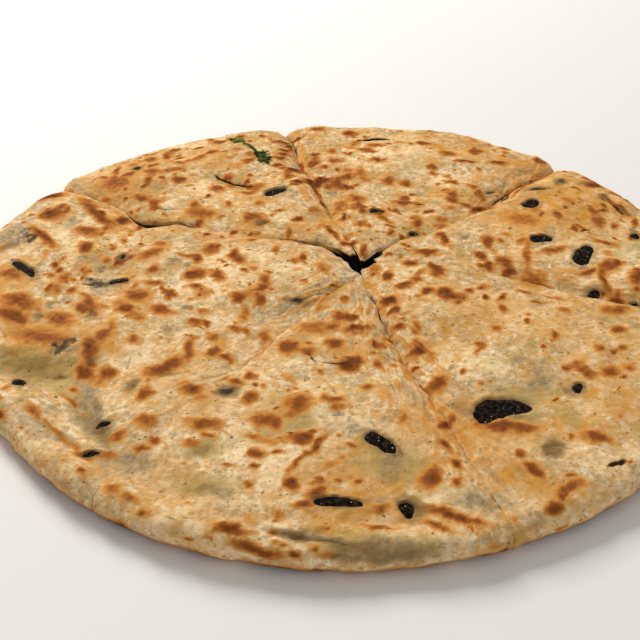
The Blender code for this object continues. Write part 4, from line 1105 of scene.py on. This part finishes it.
def leaflet(mesh, along, aside, half_length, half_width, turn, lobes, lift):
    """A wavy lobed leaf, a little curled, with some thickness."""
    made = bmesh.ops.create_grid(mesh, x_segments=20, y_segments=14, size=1.0)
    at = np.array([corner.co for corner in made["verts"]])
    out = np.maximum(np.abs(at[:, 0]), np.abs(at[:, 1]))
    angle = np.arctan2(at[:, 1], at[:, 0])
    edge = 1 + 0.30 * np.cos(lobes * angle) + 0.12 * np.cos(3 * lobes * angle + 1)
    lengthwise = out * edge * np.cos(angle) * half_length
    sideways = out * edge * np.sin(angle) * half_width
    spin = math.radians(turn)
    wave = lift + 0.35 * out * np.sin(lobes * angle + turn) + 0.25 * lumps(at, 0.5, 2, lobes)
    spots = on_crust(along + lengthwise * math.cos(spin) - sideways * math.sin(spin),
                     aside + lengthwise * math.sin(spin) + sideways * math.cos(spin), wave)
    for corner, spot in zip(made["verts"], spots):
        corner.co = spot
    faces = list({face for corner in made["verts"] for face in corner.link_faces})
    raised = bmesh.ops.extrude_face_region(mesh, geom=faces)["geom"]
    bmesh.ops.translate(mesh, verts=[item for item in raised if isinstance(item, bmesh.types.BMVert)],
                        vec=(0, 0, LEAF_THICKNESS * MM))


def stem(mesh):
    """A thin limp stem, pressed on the crust."""
    rings, sides = 40, 10
    part = np.repeat(np.linspace(0, 1, rings), sides)
    angle = np.tile(np.arange(sides) * 2 * math.pi / sides, rings)
    thick = STEM_WIDTH / 2 * (0.75 + 0.35 * part)
    along = STEM_FROM + (STEM_TO - STEM_FROM) * part
    aside = 0.8 * np.sin(3.4 * part) + thick * np.cos(angle)
    spots = on_crust(along, aside, 0.45 + thick * np.sin(angle) + 0.2 * np.sin(5 * part))
    corners = [mesh.verts.new(spot) for spot in spots]
    for ring in range(rings - 1):
        for side in range(sides):
            beside = (side + 1) % sides
            mesh.faces.new([corners[ring * sides + side], corners[ring * sides + beside],
                            corners[(ring + 1) * sides + beside], corners[(ring + 1) * sides + side]])
    mesh.faces.new(corners[:sides][::-1])
    mesh.faces.new(corners[-sides:])


def cooked_herb():
    """Fried herb leaf: dark green, nearly black in the folds, paler to the stem, slightly oily."""
    made, tree, shader = new_material("fried_herb_leaf")
    place_mm = in_millimetres(tree)
    tone = node(tree, "TexNoise", {"Vector": place_mm, "Scale": 1 / 1.4, "Detail": 3.0}).outputs["Fac"]
    west = node(tree, "SeparateXYZ", {0: place_mm}).outputs[0]
    colour = blend(tree, ramp(tree, tone, 0.38, 0.65), linear("#252F0E"), linear("#55632A"))
    colour = blend(tree, ramp(tree, west, -41.0, -37.0, 0.75, 0.0), colour, linear("#8A8A3A"))
    tree.links.new(colour, shader.inputs["Base Color"])
    shader.inputs["Roughness"].default_value = 0.8
    shader.inputs["Specular IOR Level"].default_value = 0.06
    bump = node(tree, "Bump", {"Strength": 0.6, "Distance": 0.0003, "Height": tone})
    tree.links.new(bump.outputs[0], shader.inputs["Normal"])
    return made


mesh = bmesh.new()
stem(mesh)
for shape in LEAFLETS:
    leaflet(mesh, *shape)
bmesh.ops.recalc_face_normals(mesh, faces=mesh.faces)
sprig = add_object("fried_herb_sprig", finished(mesh, "sprig"), cooked_herb(), sharp=180)
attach(sprig, "root")
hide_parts("herb_sprig")

# ---------------------------------------------------------------------------------------------
# The table, soft light from above and behind, and the eye a little above the near side.
# ---------------------------------------------------------------------------------------------
TABLE_SIZE = 3.0
mesh = bmesh.new()
bmesh.ops.create_grid(mesh, x_segments=1, y_segments=1, size=TABLE_SIZE / 2)
data = finished(mesh, "table")
table_material, _, table_shader = new_material("pale_table")
table_shader.inputs["Base Color"].default_value = linear("#EFEDEA")
table_shader.inputs["Roughness"].default_value = 0.7
table = bpy.data.objects.new("table", data)
data.materials.append(table_material)
bpy.context.scene.collection.objects.link(table)

world = bpy.data.worlds.new("studio")
bpy.context.scene.world = world
world.use_nodes = True
world.node_tree.nodes["Background"].inputs["Color"].default_value = (1.0, 0.99, 0.97, 1.0)
world.node_tree.nodes["Background"].inputs["Strength"].default_value = 0.40


def soft_light(name, place, size, power, colour):
    """A large soft panel that looks at the bread."""
    lamp = bpy.data.lights.new(name, "AREA")
    lamp.shape = "SQUARE"
    lamp.size = size
    lamp.energy = power
    lamp.color = colour
    made = bpy.data.objects.new(name, lamp)
    made.location = place
    made.rotation_euler = (-Vector(place)).to_track_quat("-Z", "Y").to_euler()
    bpy.context.scene.collection.objects.link(made)


soft_light("window", (-0.6, 1.05, 0.9), 0.6, 21.8, (1.0, 0.97, 0.92))
soft_light("fill", (0.5, -0.9, 1.0), 1.2, 1.5, (1.0, 0.98, 0.96))

EYE = Vector((0.0015, -0.2895, 0.1991))
LOOK_AT = Vector((-0.0050, -0.0144, 0.0))
ROLL = 0.37
camera_data = bpy.data.cameras.new("eye")
camera_data.lens = 56.25
camera_data.sensor_width = 36.0
camera = bpy.data.objects.new("eye", camera_data)
facing = (LOOK_AT - EYE).to_track_quat("-Z", "Y").to_matrix().to_4x4()
camera.matrix_world = facing
camera.rotation_euler = facing.to_euler()
camera.rotation_euler.rotate_axis("Z", math.radians(ROLL))
camera.location = EYE
bpy.context.scene.collection.objects.link(camera)
bpy.context.scene.camera = camera
bpy.context.scene.view_settings.view_transform = "Standard"
